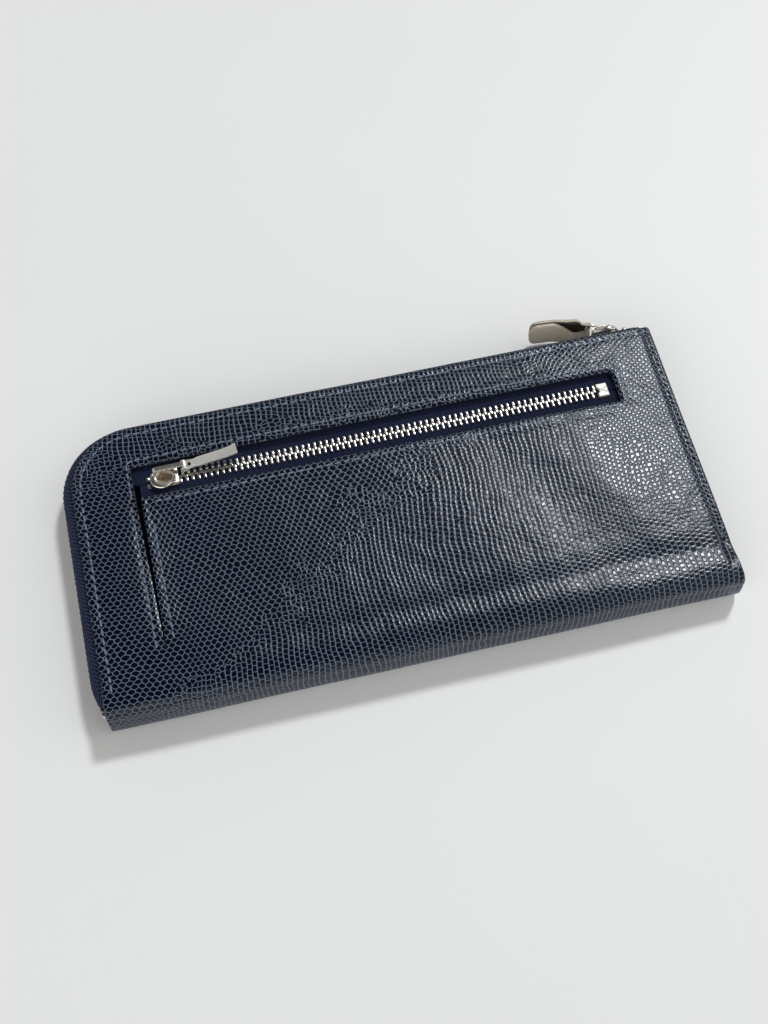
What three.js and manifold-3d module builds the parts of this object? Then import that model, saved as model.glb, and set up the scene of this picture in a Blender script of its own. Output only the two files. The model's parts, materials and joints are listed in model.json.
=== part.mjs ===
// A long wallet that closes with an L-shaped zip, lying on its back.
// Millimetres, +Z up, +X along the long side, +Y from the spine towards the zip. The origin is the middle
// of the back's flat underside. The front cover opens about the spine, and carries a zipped coin pocket.
import * as THREE from "three";
import { mergeVertices } from "three/addons/utils/BufferGeometryUtils.js";
import Module from "manifold-3d";

const wasm = await Module();
wasm.setup();

// Driving dimensions of the closed wallet
const LENGTH = 195;
const HEIGHT = 95;
const THICKNESS = 16;
const LEATHER = 1.2;
const ZIP_CORNER_RADIUS = 20;
const SMALL_RADIUS = 1.5;
const ARC_STEPS = 12;

const LEFT = -LENGTH / 2;
const RIGHT = LENGTH / 2;
const TOP = HEIGHT / 2;
const BOTTOM = -HEIGHT / 2;
const HINGE_Y = BOTTOM + 2.3; // the covers start here, and the spine is outside it
const MIDDLE_Z = THICKNESS / 2; // the height at which the two rows of the main zip meet

// Metal zip, the same size for both zips
const ROW_TIP = 0.5; // from the zip's middle line to the teeth
const ROW_BACK = 2.4; // from the middle line to the back of the row
const ROW_HALF_THICKNESS = 1.1;
const TAPE_HALF_THICKNESS = 0.25;
const TAPE_GAP = 0.2;
const TOOTH_PITCH = 2;
const STOP_LENGTH = 1.5;

// Main zip: its tape stands upright around the covers' open sides
const ZIP_OFFSET = 3.1; // how far the tape stands out of the covers' edge
const ZIP_Y = TOP + ZIP_OFFSET;
const ZIP_RIGHT_END = 94;
const ROW_RIGHT_END = 89.8;
const SEAM_DEPTH = 6; // the tape's width sewn under the covers
const SEAM_GAP = 0.3;
const TAPE_THICKNESS = 0.5;
const TAIL_RADIUS = 24; // the zip turns in towards the spine at its end
const TAIL_START_Y = -33;
const TAIL_ANGLE = THREE.MathUtils.degToRad(24);
const MAIN_SLIDER_X = 84.8;

// Coin pocket in the front cover: a window for its zip and a slit down from the window's left end
const WINDOW_LEFT = -77;
const WINDOW_RIGHT = 79.6;
const WINDOW_TOP = 32.6;
const WINDOW_BOTTOM = 21.2;
const SLIT_BOTTOM = -31;
const FLAP_RIGHT_DEPTH = 7; // how far down the flap reaches at the window's right end
const FLAP_GAP = 0.35;
const COIN_ZIP_Y = (WINDOW_TOP + WINDOW_BOTTOM) / 2;
const COIN_ZIP_Z = 13.75;
const COIN_TAPE_HALF_WIDTH = 11;
const COIN_SLIDER_X = -68.5;
const COIN_STOP_X = 73.3;
const COIN_ROW_START = -74.5;

// Inside
const LINING = 0.5;
const LINING_INSET = 6.5; // clear of the zip's seams
const LINING_RIGHT = 93;
const LINING_BOTTOM = -43.5;
const BACK_LINING_Z = 1.35;
const CARD_POCKET_Z = [2.0, 2.65, 3.3];
const CARD_POCKET_TOP = [36, 24, 12];
const FRONT_POCKET_Z = 8.25;
const FRONT_POCKET_TOP = 18;
const FRONT_LINING_Z = 8.9;
const COIN_WALL_Z = 9.55;
const COIN_WALL = 0.4;
const SIDE_GUSSET_X = 95;
const SIDE_GUSSET = 0.5;
const SIDE_GUSSET_DEPTH = [4, 17]; // how deep it folds in, at the spine and at the mouth
const SIDE_GUSSET_BACK_Z = 4.0;
const SIDE_GUSSET_FRONT_Z = 7.6;
const COIN_GUSSET = 0.4;
const COIN_GUSSET_DEPTH = 10;
const COIN_GUSSET_Z = [10.6, 12.7];

const leather = (color, roughness) => new THREE.MeshStandardMaterial({ color, roughness, metalness: 0 });
const lizard = leather(0x1f2c40, 0.45);
const greyLeather = leather(0xa39a8b, 0.6);
const lining = leather(0x8f887b, 0.7);
const tape = leather(0x1a2146, 0.85);
const nickel = new THREE.MeshStandardMaterial({ color: 0xcfccc4, roughness: 0.25, metalness: 1 });

// Solid modelling helpers
function solidOf(geometry) {
  const bare = geometry.index ? geometry.toNonIndexed() : geometry.clone();
  bare.deleteAttribute("normal");
  bare.deleteAttribute("uv");
  const merged = mergeVertices(bare, 1e-4);
  const vertProperties = merged.attributes.position.array;
  const triVerts = new Uint32Array(merged.index.array);
  return new wasm.Manifold(new wasm.Mesh({ numProp: 3, vertProperties, triVerts }));
}

function geometryOf(solid) {
  const mesh = solid.getMesh();
  const geometry = new THREE.BufferGeometry();
  geometry.setAttribute("position", new THREE.BufferAttribute(new Float32Array(mesh.vertProperties), 3));
  geometry.setIndex(new THREE.BufferAttribute(new Uint32Array(mesh.triVerts), 1));
  geometry.computeVertexNormals();
  return geometry;
}

function join(...geometries) {
  return geometryOf(geometries.map(solidOf).reduce((all, one) => all.add(one)));
}

function cut(geometry, ...tools) {
  return geometryOf(tools.map(solidOf).reduce((left, tool) => left.subtract(tool), solidOf(geometry)));
}

function polygon(points) {
  return new THREE.Shape(points.map(([x, y]) => new THREE.Vector2(x, y)));
}

// A flat outline made solid between two heights
function slab(shape, low, high) {
  const options = { depth: high - low, bevelEnabled: false, curveSegments: ARC_STEPS };
  return new THREE.ExtrudeGeometry(shape, options).translate(0, 0, low);
}

function block(x, y, z) {
  const size = [x, y, z].map(([low, high]) => high - low);
  const middle = [x, y, z].map(([low, high]) => (low + high) / 2);
  return new THREE.BoxGeometry(...size).translate(...middle);
}

// A profile drawn in the YZ plane and run along X
function runAlongX(profile, from, to) {
  const swung = new THREE.Matrix4().makeBasis(
    new THREE.Vector3(0, 1, 0),
    new THREE.Vector3(0, 0, 1),
    new THREE.Vector3(1, 0, 0),
  );
  return slab(profile, from, to).applyMatrix4(swung);
}

function addPiece(parent, name, geometry, material) {
  const mesh = new THREE.Mesh(geometry, material);
  mesh.name = name;
  parent.add(mesh);
  return mesh;
}

// Outline of a cover: one large corner where the zip turns, small ones elsewhere
function coverOutline({ inset = 0, right = RIGHT - inset, bottom = HINGE_Y, top = TOP - inset } = {}) {
  const left = LEFT + inset;
  const corner = Math.max(ZIP_CORNER_RADIUS - inset, 1);
  const small = SMALL_RADIUS;
  const shape = new THREE.Shape();
  shape.moveTo(left, bottom);
  shape.lineTo(right, bottom);
  shape.lineTo(right, top - small);
  shape.absarc(right - small, top - small, small, 0, Math.PI / 2, false);
  shape.lineTo(left + corner, top);
  shape.absarc(left + corner, top - corner, corner, Math.PI / 2, Math.PI, false);
  shape.lineTo(left, bottom);
  return shape;
}

// The L-shaped band between two distances outside the covers' edge, with or without its turned-in tail
function zipBand(inner, outer, rightEnd, tailAngle = 0) {
  const quarter = Math.PI / 2;
  const cornerX = LEFT + ZIP_CORNER_RADIUS;
  const cornerY = TOP - ZIP_CORNER_RADIUS;
  const tailX = LEFT - ZIP_OFFSET + TAIL_RADIUS;
  const tailEnd = Math.PI + tailAngle;
  const cornerAt = (offset) => ZIP_CORNER_RADIUS + offset;
  const tailAt = (offset) => TAIL_RADIUS + offset - ZIP_OFFSET;
  const shape = new THREE.Shape();
  shape.moveTo(rightEnd, TOP + inner);
  shape.lineTo(rightEnd, TOP + outer);
  shape.absarc(cornerX, cornerY, cornerAt(outer), quarter, Math.PI, false);
  if (tailAngle) shape.absarc(tailX, TAIL_START_Y, tailAt(outer), Math.PI, tailEnd, false);
  else shape.lineTo(LEFT - outer, TAIL_START_Y);
  if (tailAngle) shape.absarc(tailX, TAIL_START_Y, tailAt(inner), tailEnd, Math.PI, true);
  else shape.lineTo(LEFT - inner, TAIL_START_Y);
  shape.absarc(cornerX, cornerY, cornerAt(inner), Math.PI, quarter, true);
  return shape;
}

// One tape of the main zip: the upright band, and the strip sewn under the cover. side is 1 for the front.
function mainTape(side) {
  const rowBack = MIDDLE_Z + side * (ROW_BACK + TAPE_GAP);
  const seam = MIDDLE_Z + side * (MIDDLE_Z - LEATHER - SEAM_GAP);
  const between = (a, b) => [Math.min(a, b), Math.max(a, b)];
  const band = zipBand(
    ZIP_OFFSET - TAPE_HALF_THICKNESS,
    ZIP_OFFSET + TAPE_HALF_THICKNESS,
    ZIP_RIGHT_END,
    TAIL_ANGLE,
  );
  const sewn = zipBand(-SEAM_DEPTH, ZIP_OFFSET + TAPE_HALF_THICKNESS, ZIP_RIGHT_END);
  return join(
    slab(band, ...between(rowBack, seam)),
    slab(sewn, ...between(seam - side * TAPE_THICKNESS, seam)),
  );
}

function mainRow(side) {
  const band = zipBand(
    ZIP_OFFSET - ROW_HALF_THICKNESS,
    ZIP_OFFSET + ROW_HALF_THICKNESS,
    ROW_RIGHT_END,
    TAIL_ANGLE,
  );
  const heights = [MIDDLE_Z + side * ROW_TIP, MIDDLE_Z + side * ROW_BACK].sort((a, b) => a - b);
  return slab(band, ...heights);
}

function mainTopStop(side) {
  const start = ROW_RIGHT_END + TAPE_GAP;
  const heights = [MIDDLE_Z + side * ROW_TIP, MIDDLE_Z + side * ROW_BACK].sort((a, b) => a - b);
  const across = [ZIP_Y - ROW_HALF_THICKNESS, ZIP_Y + ROW_HALF_THICKNESS];
  return block([start, start + STOP_LENGTH], across, heights);
}

// The stop that ties both rows together where the zip ends beside the spine
function mainBottomStop() {
  const half = [STOP_LENGTH / 2, ROW_HALF_THICKNESS, ROW_BACK];
  const angle = TAIL_ANGLE + (STOP_LENGTH / 2 + TAPE_GAP) / (TAIL_RADIUS - ROW_HALF_THICKNESS) + 0.01;
  return block(...half.map((size) => [-size, size]))
    .rotateZ(angle - Math.PI / 2)
    .translate(
      LEFT - ZIP_OFFSET + TAIL_RADIUS * (1 - Math.cos(angle)),
      TAIL_START_Y - TAIL_RADIUS * Math.sin(angle),
      MIDDLE_Z,
    );
}

// Covers
function frontFrame() {
  const outline = coverOutline();
  const hole = [
    [WINDOW_LEFT - FLAP_GAP, WINDOW_TOP],
    [WINDOW_RIGHT + FLAP_GAP, WINDOW_TOP],
    [WINDOW_RIGHT + FLAP_GAP, WINDOW_BOTTOM - FLAP_RIGHT_DEPTH],
    [WINDOW_LEFT - FLAP_GAP, SLIT_BOTTOM],
  ];
  outline.holes.push(new THREE.Path(hole.map(([x, y]) => new THREE.Vector2(x, y))));
  return slab(outline, THICKNESS - LEATHER, THICKNESS);
}

// The corner of the front cover between the coin zip and the slit, which folds up to open the pocket
function coinFlap() {
  const corners = [
    [WINDOW_LEFT, SLIT_BOTTOM + FLAP_GAP],
    [WINDOW_RIGHT, WINDOW_BOTTOM - FLAP_RIGHT_DEPTH + FLAP_GAP],
    [WINDOW_RIGHT, WINDOW_BOTTOM],
    [WINDOW_LEFT, WINDOW_BOTTOM],
  ];
  return slab(polygon(corners), THICKNESS - LEATHER, THICKNESS);
}

// The leather that turns from the back to the front, open towards the inside
function spine() {
  const outer = BOTTOM;
  const inner = BOTTOM + LEATHER;
  const lip = HINGE_Y - 0.3;
  const top = THICKNESS - LEATHER - 0.6;
  const profile = polygon([
    [lip, 0],
    [lip, LEATHER],
    [inner + 0.3, LEATHER + 0.3],
    [inner, LEATHER + 1.2],
    [inner, top - 1.2],
    [inner + 0.3, top],
    [outer + 0.6, top],
    [outer, top - 1.6],
    [outer, 2.4],
    [outer + 0.8, 0.6],
  ]);
  return runAlongX(profile, LEFT + 0.5, RIGHT - 0.5);
}

function innerSheet(low, thickness, top) {
  const shape = coverOutline({ inset: LINING_INSET, right: LINING_RIGHT, bottom: LINING_BOTTOM, top });
  return slab(shape, low, low + thickness);
}

function straightSheet(low, thickness, top) {
  const left = LEFT + LINING_INSET;
  return block([left, LINING_RIGHT], [LINING_BOTTOM, top], [low, low + thickness]);
}

// One leaf of the folded gusset that closes the right side: a flat wedge, and the edge sewn to its cover
function sideGussetLeaf(low, edgeLow, edgeHigh) {
  const [atSpine, atMouth] = SIDE_GUSSET_DEPTH;
  const bottom = LINING_BOTTOM + 1;
  const top = TOP - LINING_INSET + 2;
  const wedge = polygon([
    [SIDE_GUSSET_X - atSpine, bottom],
    [SIDE_GUSSET_X, bottom],
    [SIDE_GUSSET_X, top],
    [SIDE_GUSSET_X - atMouth, top],
  ]);
  return join(
    slab(wedge, low, low + SIDE_GUSSET),
    block([SIDE_GUSSET_X - SIDE_GUSSET, SIDE_GUSSET_X], [bottom, top], [edgeLow, edgeHigh]),
  );
}

// The folded strip behind the slit that closes the coin pocket's side when its flap is up
function coinGusset() {
  const [low, high] = COIN_GUSSET_Z;
  const near = WINDOW_LEFT - 1;
  const far = WINDOW_LEFT + COIN_GUSSET_DEPTH;
  const shape = polygon([
    [near, low],
    [far, low],
    [far, high],
    [near, high],
    [near, high - COIN_GUSSET],
    [far - COIN_GUSSET, high - COIN_GUSSET],
    [far - COIN_GUSSET, low + COIN_GUSSET],
    [near, low + COIN_GUSSET],
  ]);
  const tapeEdge = COIN_ZIP_Y - COIN_TAPE_HALF_WIDTH - 0.5;
  return slab(shape, -tapeEdge, -SLIT_BOTTOM).rotateX(Math.PI / 2);
}

// Coin zip. side is 1 for the half nearer the main zip.
// The lower half lifts with the flap, so it ends with the flap's edges.
function coinTape(side) {
  const reach = [ROW_BACK + TAPE_GAP, COIN_TAPE_HALF_WIDTH].map((y) => COIN_ZIP_Y + side * y);
  const thickness = [COIN_ZIP_Z - TAPE_HALF_THICKNESS, COIN_ZIP_Z + TAPE_HALF_THICKNESS];
  const past = side > 0 ? 3 : 0;
  return block([WINDOW_LEFT - past, WINDOW_RIGHT + past], reach.sort((a, b) => a - b), thickness);
}

// A row of teeth as one comb. The two rows are half a pitch apart.
function coinRow(side) {
  const root = ROW_BACK - 0.8;
  const start = COIN_ROW_START + (side > 0 ? 0 : TOOTH_PITCH / 2);
  const count = Math.floor((COIN_STOP_X - TAPE_GAP - start) / TOOTH_PITCH);
  const points = [[start, ROW_BACK]];
  for (let i = 0; i < count; i += 1) {
    const x = start + i * TOOTH_PITCH;
    points.push([x, ROW_TIP], [x + TOOTH_PITCH / 2, ROW_TIP]);
    points.push([x + TOOTH_PITCH / 2, root]);
    if (i < count - 1) points.push([x + TOOTH_PITCH, root]);
  }
  points.push([start + (count - 0.5) * TOOTH_PITCH, ROW_BACK]);
  const shape = polygon(points.map(([x, y]) => [x, COIN_ZIP_Y + side * y]));
  return slab(shape, COIN_ZIP_Z - ROW_HALF_THICKNESS, COIN_ZIP_Z + ROW_HALF_THICKNESS);
}

function coinTopStop(side) {
  const reach = [ROW_TIP, ROW_BACK].map((y) => COIN_ZIP_Y + side * y).sort((a, b) => a - b);
  const end = COIN_ROW_START - TAPE_GAP;
  const heights = [COIN_ZIP_Z - ROW_HALF_THICKNESS, COIN_ZIP_Z + ROW_HALF_THICKNESS];
  return block([end - STOP_LENGTH, end], reach, heights);
}

const END_STOP = { length: 3.6, halfWidth: 2.1, halfThickness: 1.3 };

function coinEndStop() {
  const y = [COIN_ZIP_Y - END_STOP.halfWidth, COIN_ZIP_Y + END_STOP.halfWidth];
  const z = [COIN_ZIP_Z - END_STOP.halfThickness, COIN_ZIP_Z + END_STOP.halfThickness];
  return block([COIN_STOP_X, COIN_STOP_X + END_STOP.length], y, z);
}

// Slider: two plates with rims, joined by a blade between the rows. Its nose is at -x, its plates lie flat,
// and z = 0 is the middle of the teeth. Where a row leaves the slider as its cover opens, there is room for
// it: sideways without the rim at +y, or upwards without the upper plate's half at -y.
const SLIDER = { nose: 4, noseX: -0.8, tail: 3.4, tailX: 4.5, rim: 0.7, plate: 1, gap: 1.4, lip: 0.75 };
const BRIDGE = { width: 1.6, tunnel: 1.6, roof: 0.55, leg: 0.8 };
const EYE_Z = SLIDER.gap + SLIDER.plate + 0.05 + BRIDGE.tunnel / 2;

function sliderOutline(inset = 0) {
  const { nose, noseX, tail, tailX } = SLIDER;
  const shape = new THREE.Shape();
  shape.moveTo(tailX - inset, inset - tail);
  shape.lineTo(tailX - inset, tail - inset);
  shape.absarc(noseX, 0, nose - inset, Math.PI / 2, (3 * Math.PI) / 2, false);
  shape.lineTo(tailX - inset, inset - tail);
  return shape;
}

function sliderBody(rowLeaves) {
  const { nose, noseX, rim, plate, gap, lip } = SLIDER;
  const far = 10;
  const halves = [1, -1].map((side) => {
    const heights = (a, b) => [side * a, side * b].sort((p, q) => p - q);
    const rimShape = sliderOutline();
    rimShape.holes.push(sliderOutline(rim));
    const solid = join(
      slab(sliderOutline(), ...heights(gap, gap + plate)),
      slab(rimShape, ...heights(gap - lip, gap + 0.2)),
    );
    return cut(solid, block([-far, far], [-2.65, rowLeaves === "sideways" ? far : 2.65], [-gap, gap]));
  });
  const blade = block([noseX - nose + 0.6, noseX - nose + 3.2], [-0.2, 0.4], [-gap - 0.2, gap + 0.2]);
  const body = join(...halves, blade);
  return rowLeaves === "upwards" ? cut(body, block([-far, far], [-far, 0.1], [-gap, far])) : body;
}

// The bridge over the slider that holds the pull. Its far leg may hang past the slider's tail.
function sliderBridge(from, to, farLegDrop = 0) {
  const { width, tunnel, roof, leg } = BRIDGE;
  const base = SLIDER.gap + SLIDER.plate + 0.05;
  const top = tunnel + roof;
  const profile = polygon([
    [from, 0],
    [from + leg, 0],
    [from + leg, tunnel],
    [to - leg, tunnel],
    [to - leg, farLegDrop],
    [to, farLegDrop],
    [to, top - 0.4],
    [to - 0.4, top],
    [from + 0.6, top],
    [from, top - 0.6],
  ]);
  return slab(profile, -width / 2, width / 2).rotateX(Math.PI / 2).translate(0, 0, base);
}

// Metal pull: a bar with a slot at one end, so that the slider's bridge can pass through it
const PULL = { start: -0.5, end: 16.6, half: 2.05, halfThickness: 0.5, corner: 0.8 };
const PULL_SLOT = { end: 3, half: 1.15 };

function coinPull() {
  const { start, end, half, halfThickness, corner } = PULL;
  const shape = new THREE.Shape();
  shape.moveTo(start, half);
  shape.lineTo(start, -half);
  shape.absarc(end - corner, corner - half, corner, -Math.PI / 2, 0, false);
  shape.absarc(end - corner, half - corner, corner, 0, Math.PI / 2, false);
  const slotSide = PULL_SLOT.half;
  const slot = [
    [-start, -slotSide],
    [PULL_SLOT.end, -slotSide],
    [PULL_SLOT.end, slotSide],
    [-start, slotSide],
  ];
  shape.holes.push(new THREE.Path(slot.map(([x, y]) => new THREE.Vector2(x, y))));
  return slab(shape, -halfThickness, halfThickness);
}

// Metal link between the main slider's bridge and the leather pull
const RING = { length: 3.6, inner: 2.4, bar: 0.9 };

function pullRing() {
  const { length, inner, bar } = RING;
  const outer = inner + bar;
  const corners = (from, to, side) => [[from, -side], [to, -side], [to, side], [from, side]];
  const shape = polygon(corners(-bar / 2, length + bar / 2, outer));
  const hole = corners(bar / 2, length - bar / 2, inner);
  shape.holes.push(new THREE.Path(hole.map(([x, y]) => new THREE.Vector2(x, y))));
  return slab(shape, -bar / 2, bar / 2);
}

// Leather pull: a tab whose narrow neck loops round the link's outer bar
const TAB = { start: 2.6, length: 16.5, halfWidth: 4.7, half: 1, sag: 1, neck: 2.1 };

function pullTab() {
  const { start, length, halfWidth, half, sag, neck } = TAB;
  const round = 3;
  const end = start + length;
  const low = -sag - halfWidth;
  const high = -sag + halfWidth;
  const face = new THREE.Shape();
  face.moveTo(start, low + 1);
  face.lineTo(start + 1, low);
  face.absarc(end - round, low + round, round, -Math.PI / 2, 0, false);
  face.absarc(end - round, high - round, round, 0, Math.PI / 2, false);
  face.lineTo(start + 1, high);
  face.lineTo(start, high - 1);
  const loop = new THREE.Shape();
  loop.absarc(0, 0, 1.5, Math.PI / 4, (7 * Math.PI) / 4, false);
  loop.lineTo(start + 0.5, -half);
  loop.lineTo(start + 0.5, half);
  const bar = new THREE.Path().absarc(0, 0, 0.85, 0, 2 * Math.PI, true);
  loop.holes.push(bar);
  return join(slab(face, -half, half), slab(loop, -neck, neck).rotateX(Math.PI / 2));
}

// Assembly
const wallet = new THREE.Group();

const backCover = new THREE.Group();
wallet.add(backCover);
addPiece(backCover, "back_panel", slab(coverOutline(), 0, LEATHER), lizard);
addPiece(backCover, "spine", spine(), lizard);
addPiece(backCover, "back_lining", innerSheet(BACK_LINING_Z, LINING, TOP - LINING_INSET), lining);
CARD_POCKET_Z.forEach((z, i) => {
  addPiece(backCover, `card_pocket_${i + 1}`, straightSheet(z, LINING, CARD_POCKET_TOP[i]), greyLeather);
});
const backLeaf = sideGussetLeaf(SIDE_GUSSET_BACK_Z, LEATHER + 0.15, SIDE_GUSSET_BACK_Z + SIDE_GUSSET);
addPiece(backCover, "side_gusset_back_leaf", backLeaf, greyLeather);
addPiece(backCover, "main_zip_tape_back", mainTape(-1), tape);
addPiece(backCover, "main_zip_teeth_back", mainRow(-1), nickel);
addPiece(backCover, "main_zip_top_stop_back", mainTopStop(-1), nickel);
addPiece(backCover, "main_zip_bottom_stop", mainBottomStop(), nickel);

const frontCover = new THREE.Group();
wallet.add(frontCover);
addPiece(frontCover, "front_panel", frontFrame(), lizard);
const frontPocket = straightSheet(FRONT_POCKET_Z, LINING, FRONT_POCKET_TOP);
addPiece(frontCover, "front_card_pocket", frontPocket, greyLeather);
addPiece(frontCover, "front_lining", innerSheet(FRONT_LINING_Z, LINING, TOP - LINING_INSET), lining);
addPiece(frontCover, "coin_pocket_wall", innerSheet(COIN_WALL_Z, COIN_WALL, TOP - LINING_INSET), tape);
addPiece(frontCover, "coin_pocket_gusset", coinGusset(), greyLeather);
const frontLeafTop = THICKNESS - LEATHER - 0.15;
const frontLeaf = sideGussetLeaf(SIDE_GUSSET_FRONT_Z, SIDE_GUSSET_FRONT_Z, frontLeafTop);
addPiece(frontCover, "side_gusset_front_leaf", frontLeaf, greyLeather);
addPiece(frontCover, "main_zip_tape_front", mainTape(1), tape);
addPiece(frontCover, "main_zip_teeth_front", mainRow(1), nickel);
addPiece(frontCover, "main_zip_top_stop_front", mainTopStop(1), nickel);
[[1, "upper"], [-1, "lower"]].forEach(([side, name]) => {
  addPiece(frontCover, `coin_zip_tape_${name}`, coinTape(side), tape);
  addPiece(frontCover, `coin_zip_teeth_${name}`, coinRow(side), nickel);
  addPiece(frontCover, `coin_zip_top_stop_${name}`, coinTopStop(side), nickel);
});
addPiece(frontCover, "coin_zip_end_stop", coinEndStop(), nickel);
addPiece(frontCover, "coin_flap", coinFlap(), lizard);

const coinSlider = new THREE.Group();
coinSlider.position.set(COIN_SLIDER_X, COIN_ZIP_Y, COIN_ZIP_Z);
frontCover.add(coinSlider);
const COIN_EYE_X = 6.7;
const COIN_PULL_Y = 2.05; // the pull lies beside the lower row
addPiece(coinSlider, "coin_slider_body", sliderBody("upwards"), nickel);
const coinBridge = sliderBridge(-3, COIN_EYE_X + 1.7, 0.3);
addPiece(coinSlider, "coin_slider_bridge", coinBridge, nickel).position.y = COIN_PULL_Y;
const coinPullMesh = addPiece(coinSlider, "coin_slider_pull", coinPull(), nickel);
coinPullMesh.position.set(COIN_EYE_X, COIN_PULL_Y, EYE_Z);
coinPullMesh.rotation.set(0, THREE.MathUtils.degToRad(-9), THREE.MathUtils.degToRad(5), "ZYX");

// The main slider lies on its side: its nose points to +X and its outer plate to +Y
const mainSlider = new THREE.Group();
mainSlider.position.set(MAIN_SLIDER_X, ZIP_Y, MIDDLE_Z);
mainSlider.rotation.set(Math.PI / 2, Math.PI, 0);
backCover.add(mainSlider);
addPiece(mainSlider, "main_slider_body", sliderBody("sideways"), nickel);
addPiece(mainSlider, "main_slider_bridge", sliderBridge(-3.5, 3.9), nickel);
const mainPull = new THREE.Group();
mainPull.position.set(2.5, 0, EYE_Z);
mainPull.rotation.y = THREE.MathUtils.degToRad(-20);
mainSlider.add(mainPull);
addPiece(mainPull, "main_pull_ring", pullRing(), nickel);
const mainTab = addPiece(mainPull, "main_pull_tab", pullTab(), greyLeather);
mainTab.position.x = RING.length;
mainTab.rotation.y = THREE.MathUtils.degToRad(8);

export default wallet;
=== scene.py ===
"""Looks of the long wallet: leather, zips, stitches and inside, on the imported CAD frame. Lengths are in mm."""

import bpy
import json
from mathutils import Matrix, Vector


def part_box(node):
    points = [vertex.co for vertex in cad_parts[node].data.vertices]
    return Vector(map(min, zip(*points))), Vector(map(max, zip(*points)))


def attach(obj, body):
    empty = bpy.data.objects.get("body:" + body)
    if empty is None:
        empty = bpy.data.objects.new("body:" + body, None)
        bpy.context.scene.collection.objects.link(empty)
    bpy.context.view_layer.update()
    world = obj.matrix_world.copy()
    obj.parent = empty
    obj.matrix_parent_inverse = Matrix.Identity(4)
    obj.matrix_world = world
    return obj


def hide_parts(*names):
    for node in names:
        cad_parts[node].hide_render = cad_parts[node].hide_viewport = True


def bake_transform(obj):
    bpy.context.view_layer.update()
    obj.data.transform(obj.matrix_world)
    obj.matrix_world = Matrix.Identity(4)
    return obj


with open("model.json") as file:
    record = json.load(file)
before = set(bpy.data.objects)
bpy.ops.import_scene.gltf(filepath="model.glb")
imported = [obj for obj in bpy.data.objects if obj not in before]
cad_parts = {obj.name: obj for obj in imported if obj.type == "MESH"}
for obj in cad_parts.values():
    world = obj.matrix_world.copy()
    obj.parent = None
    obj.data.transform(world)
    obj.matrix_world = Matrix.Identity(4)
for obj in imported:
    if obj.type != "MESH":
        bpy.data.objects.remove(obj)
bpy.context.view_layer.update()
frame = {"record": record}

import json
import math
import bmesh
import bpy
import numpy as np
from mathutils import Matrix, Vector
from mathutils.geometry import delaunay_2d_cdt

MM = 0.001


def box(node):
    return [np.array(corner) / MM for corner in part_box(node)]


# Measures from the CAD
(LEFT, _, _), (RIGHT, TOP, T) = box("front_panel")
BOTTOM = box("spine")[0][1]
ZIP_Z = T / 2
ZIP_OUT = 3.1  # the main zip's teeth stand this far outside the covers' edge
CORNER = 20.0  # radius
CORNER_X, CORNER_Y = LEFT + CORNER, TOP - CORNER
FLAP_LOW, FLAP_HIGH = box("coin_flap")
WIN_L, WIN_R, WIN_B = FLAP_LOW[0], FLAP_HIGH[0], FLAP_HIGH[1]
COIN_Y = (box("coin_zip_teeth_upper")[1][1] + box("coin_zip_teeth_lower")[0][1]) / 2
WIN_T = 2 * COIN_Y - WIN_B
JOINTS = {j["name"]: j for j in frame["record"]["behaviour"]["joints"]}


def joint_position(name):
    return np.array(JOINTS[name]["pos_m"]) / MM


HINGE = joint_position("coin_flap_open")[:2]
hinge_x, hinge_y, _ = JOINTS["coin_flap_open"]["axis"]
ACROSS = np.array([-hinge_y, hinge_x])  # from the hinge line to the flap's free edges
SLIT_B = HINGE[1]


# ---------------------------------------------------------------- materials
class Value:
    """A number inside a material. Arithmetic on it adds math nodes."""

    def __init__(self, nodes, socket):
        self.nodes = nodes
        self.socket = socket

    def __add__(self, other):
        return self.nodes.math("ADD", self, other)

    def __sub__(self, other):
        return self.nodes.math("SUBTRACT", self, other)

    def __rsub__(self, other):
        return self.nodes.math("SUBTRACT", other, self)

    def __mul__(self, other):
        return self.nodes.math("MULTIPLY", self, other)

    def __truediv__(self, other):
        return self.nodes.math("DIVIDE", self, other)

    def __abs__(self):
        return self.nodes.math("ABSOLUTE", self)

    __radd__ = __add__


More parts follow.
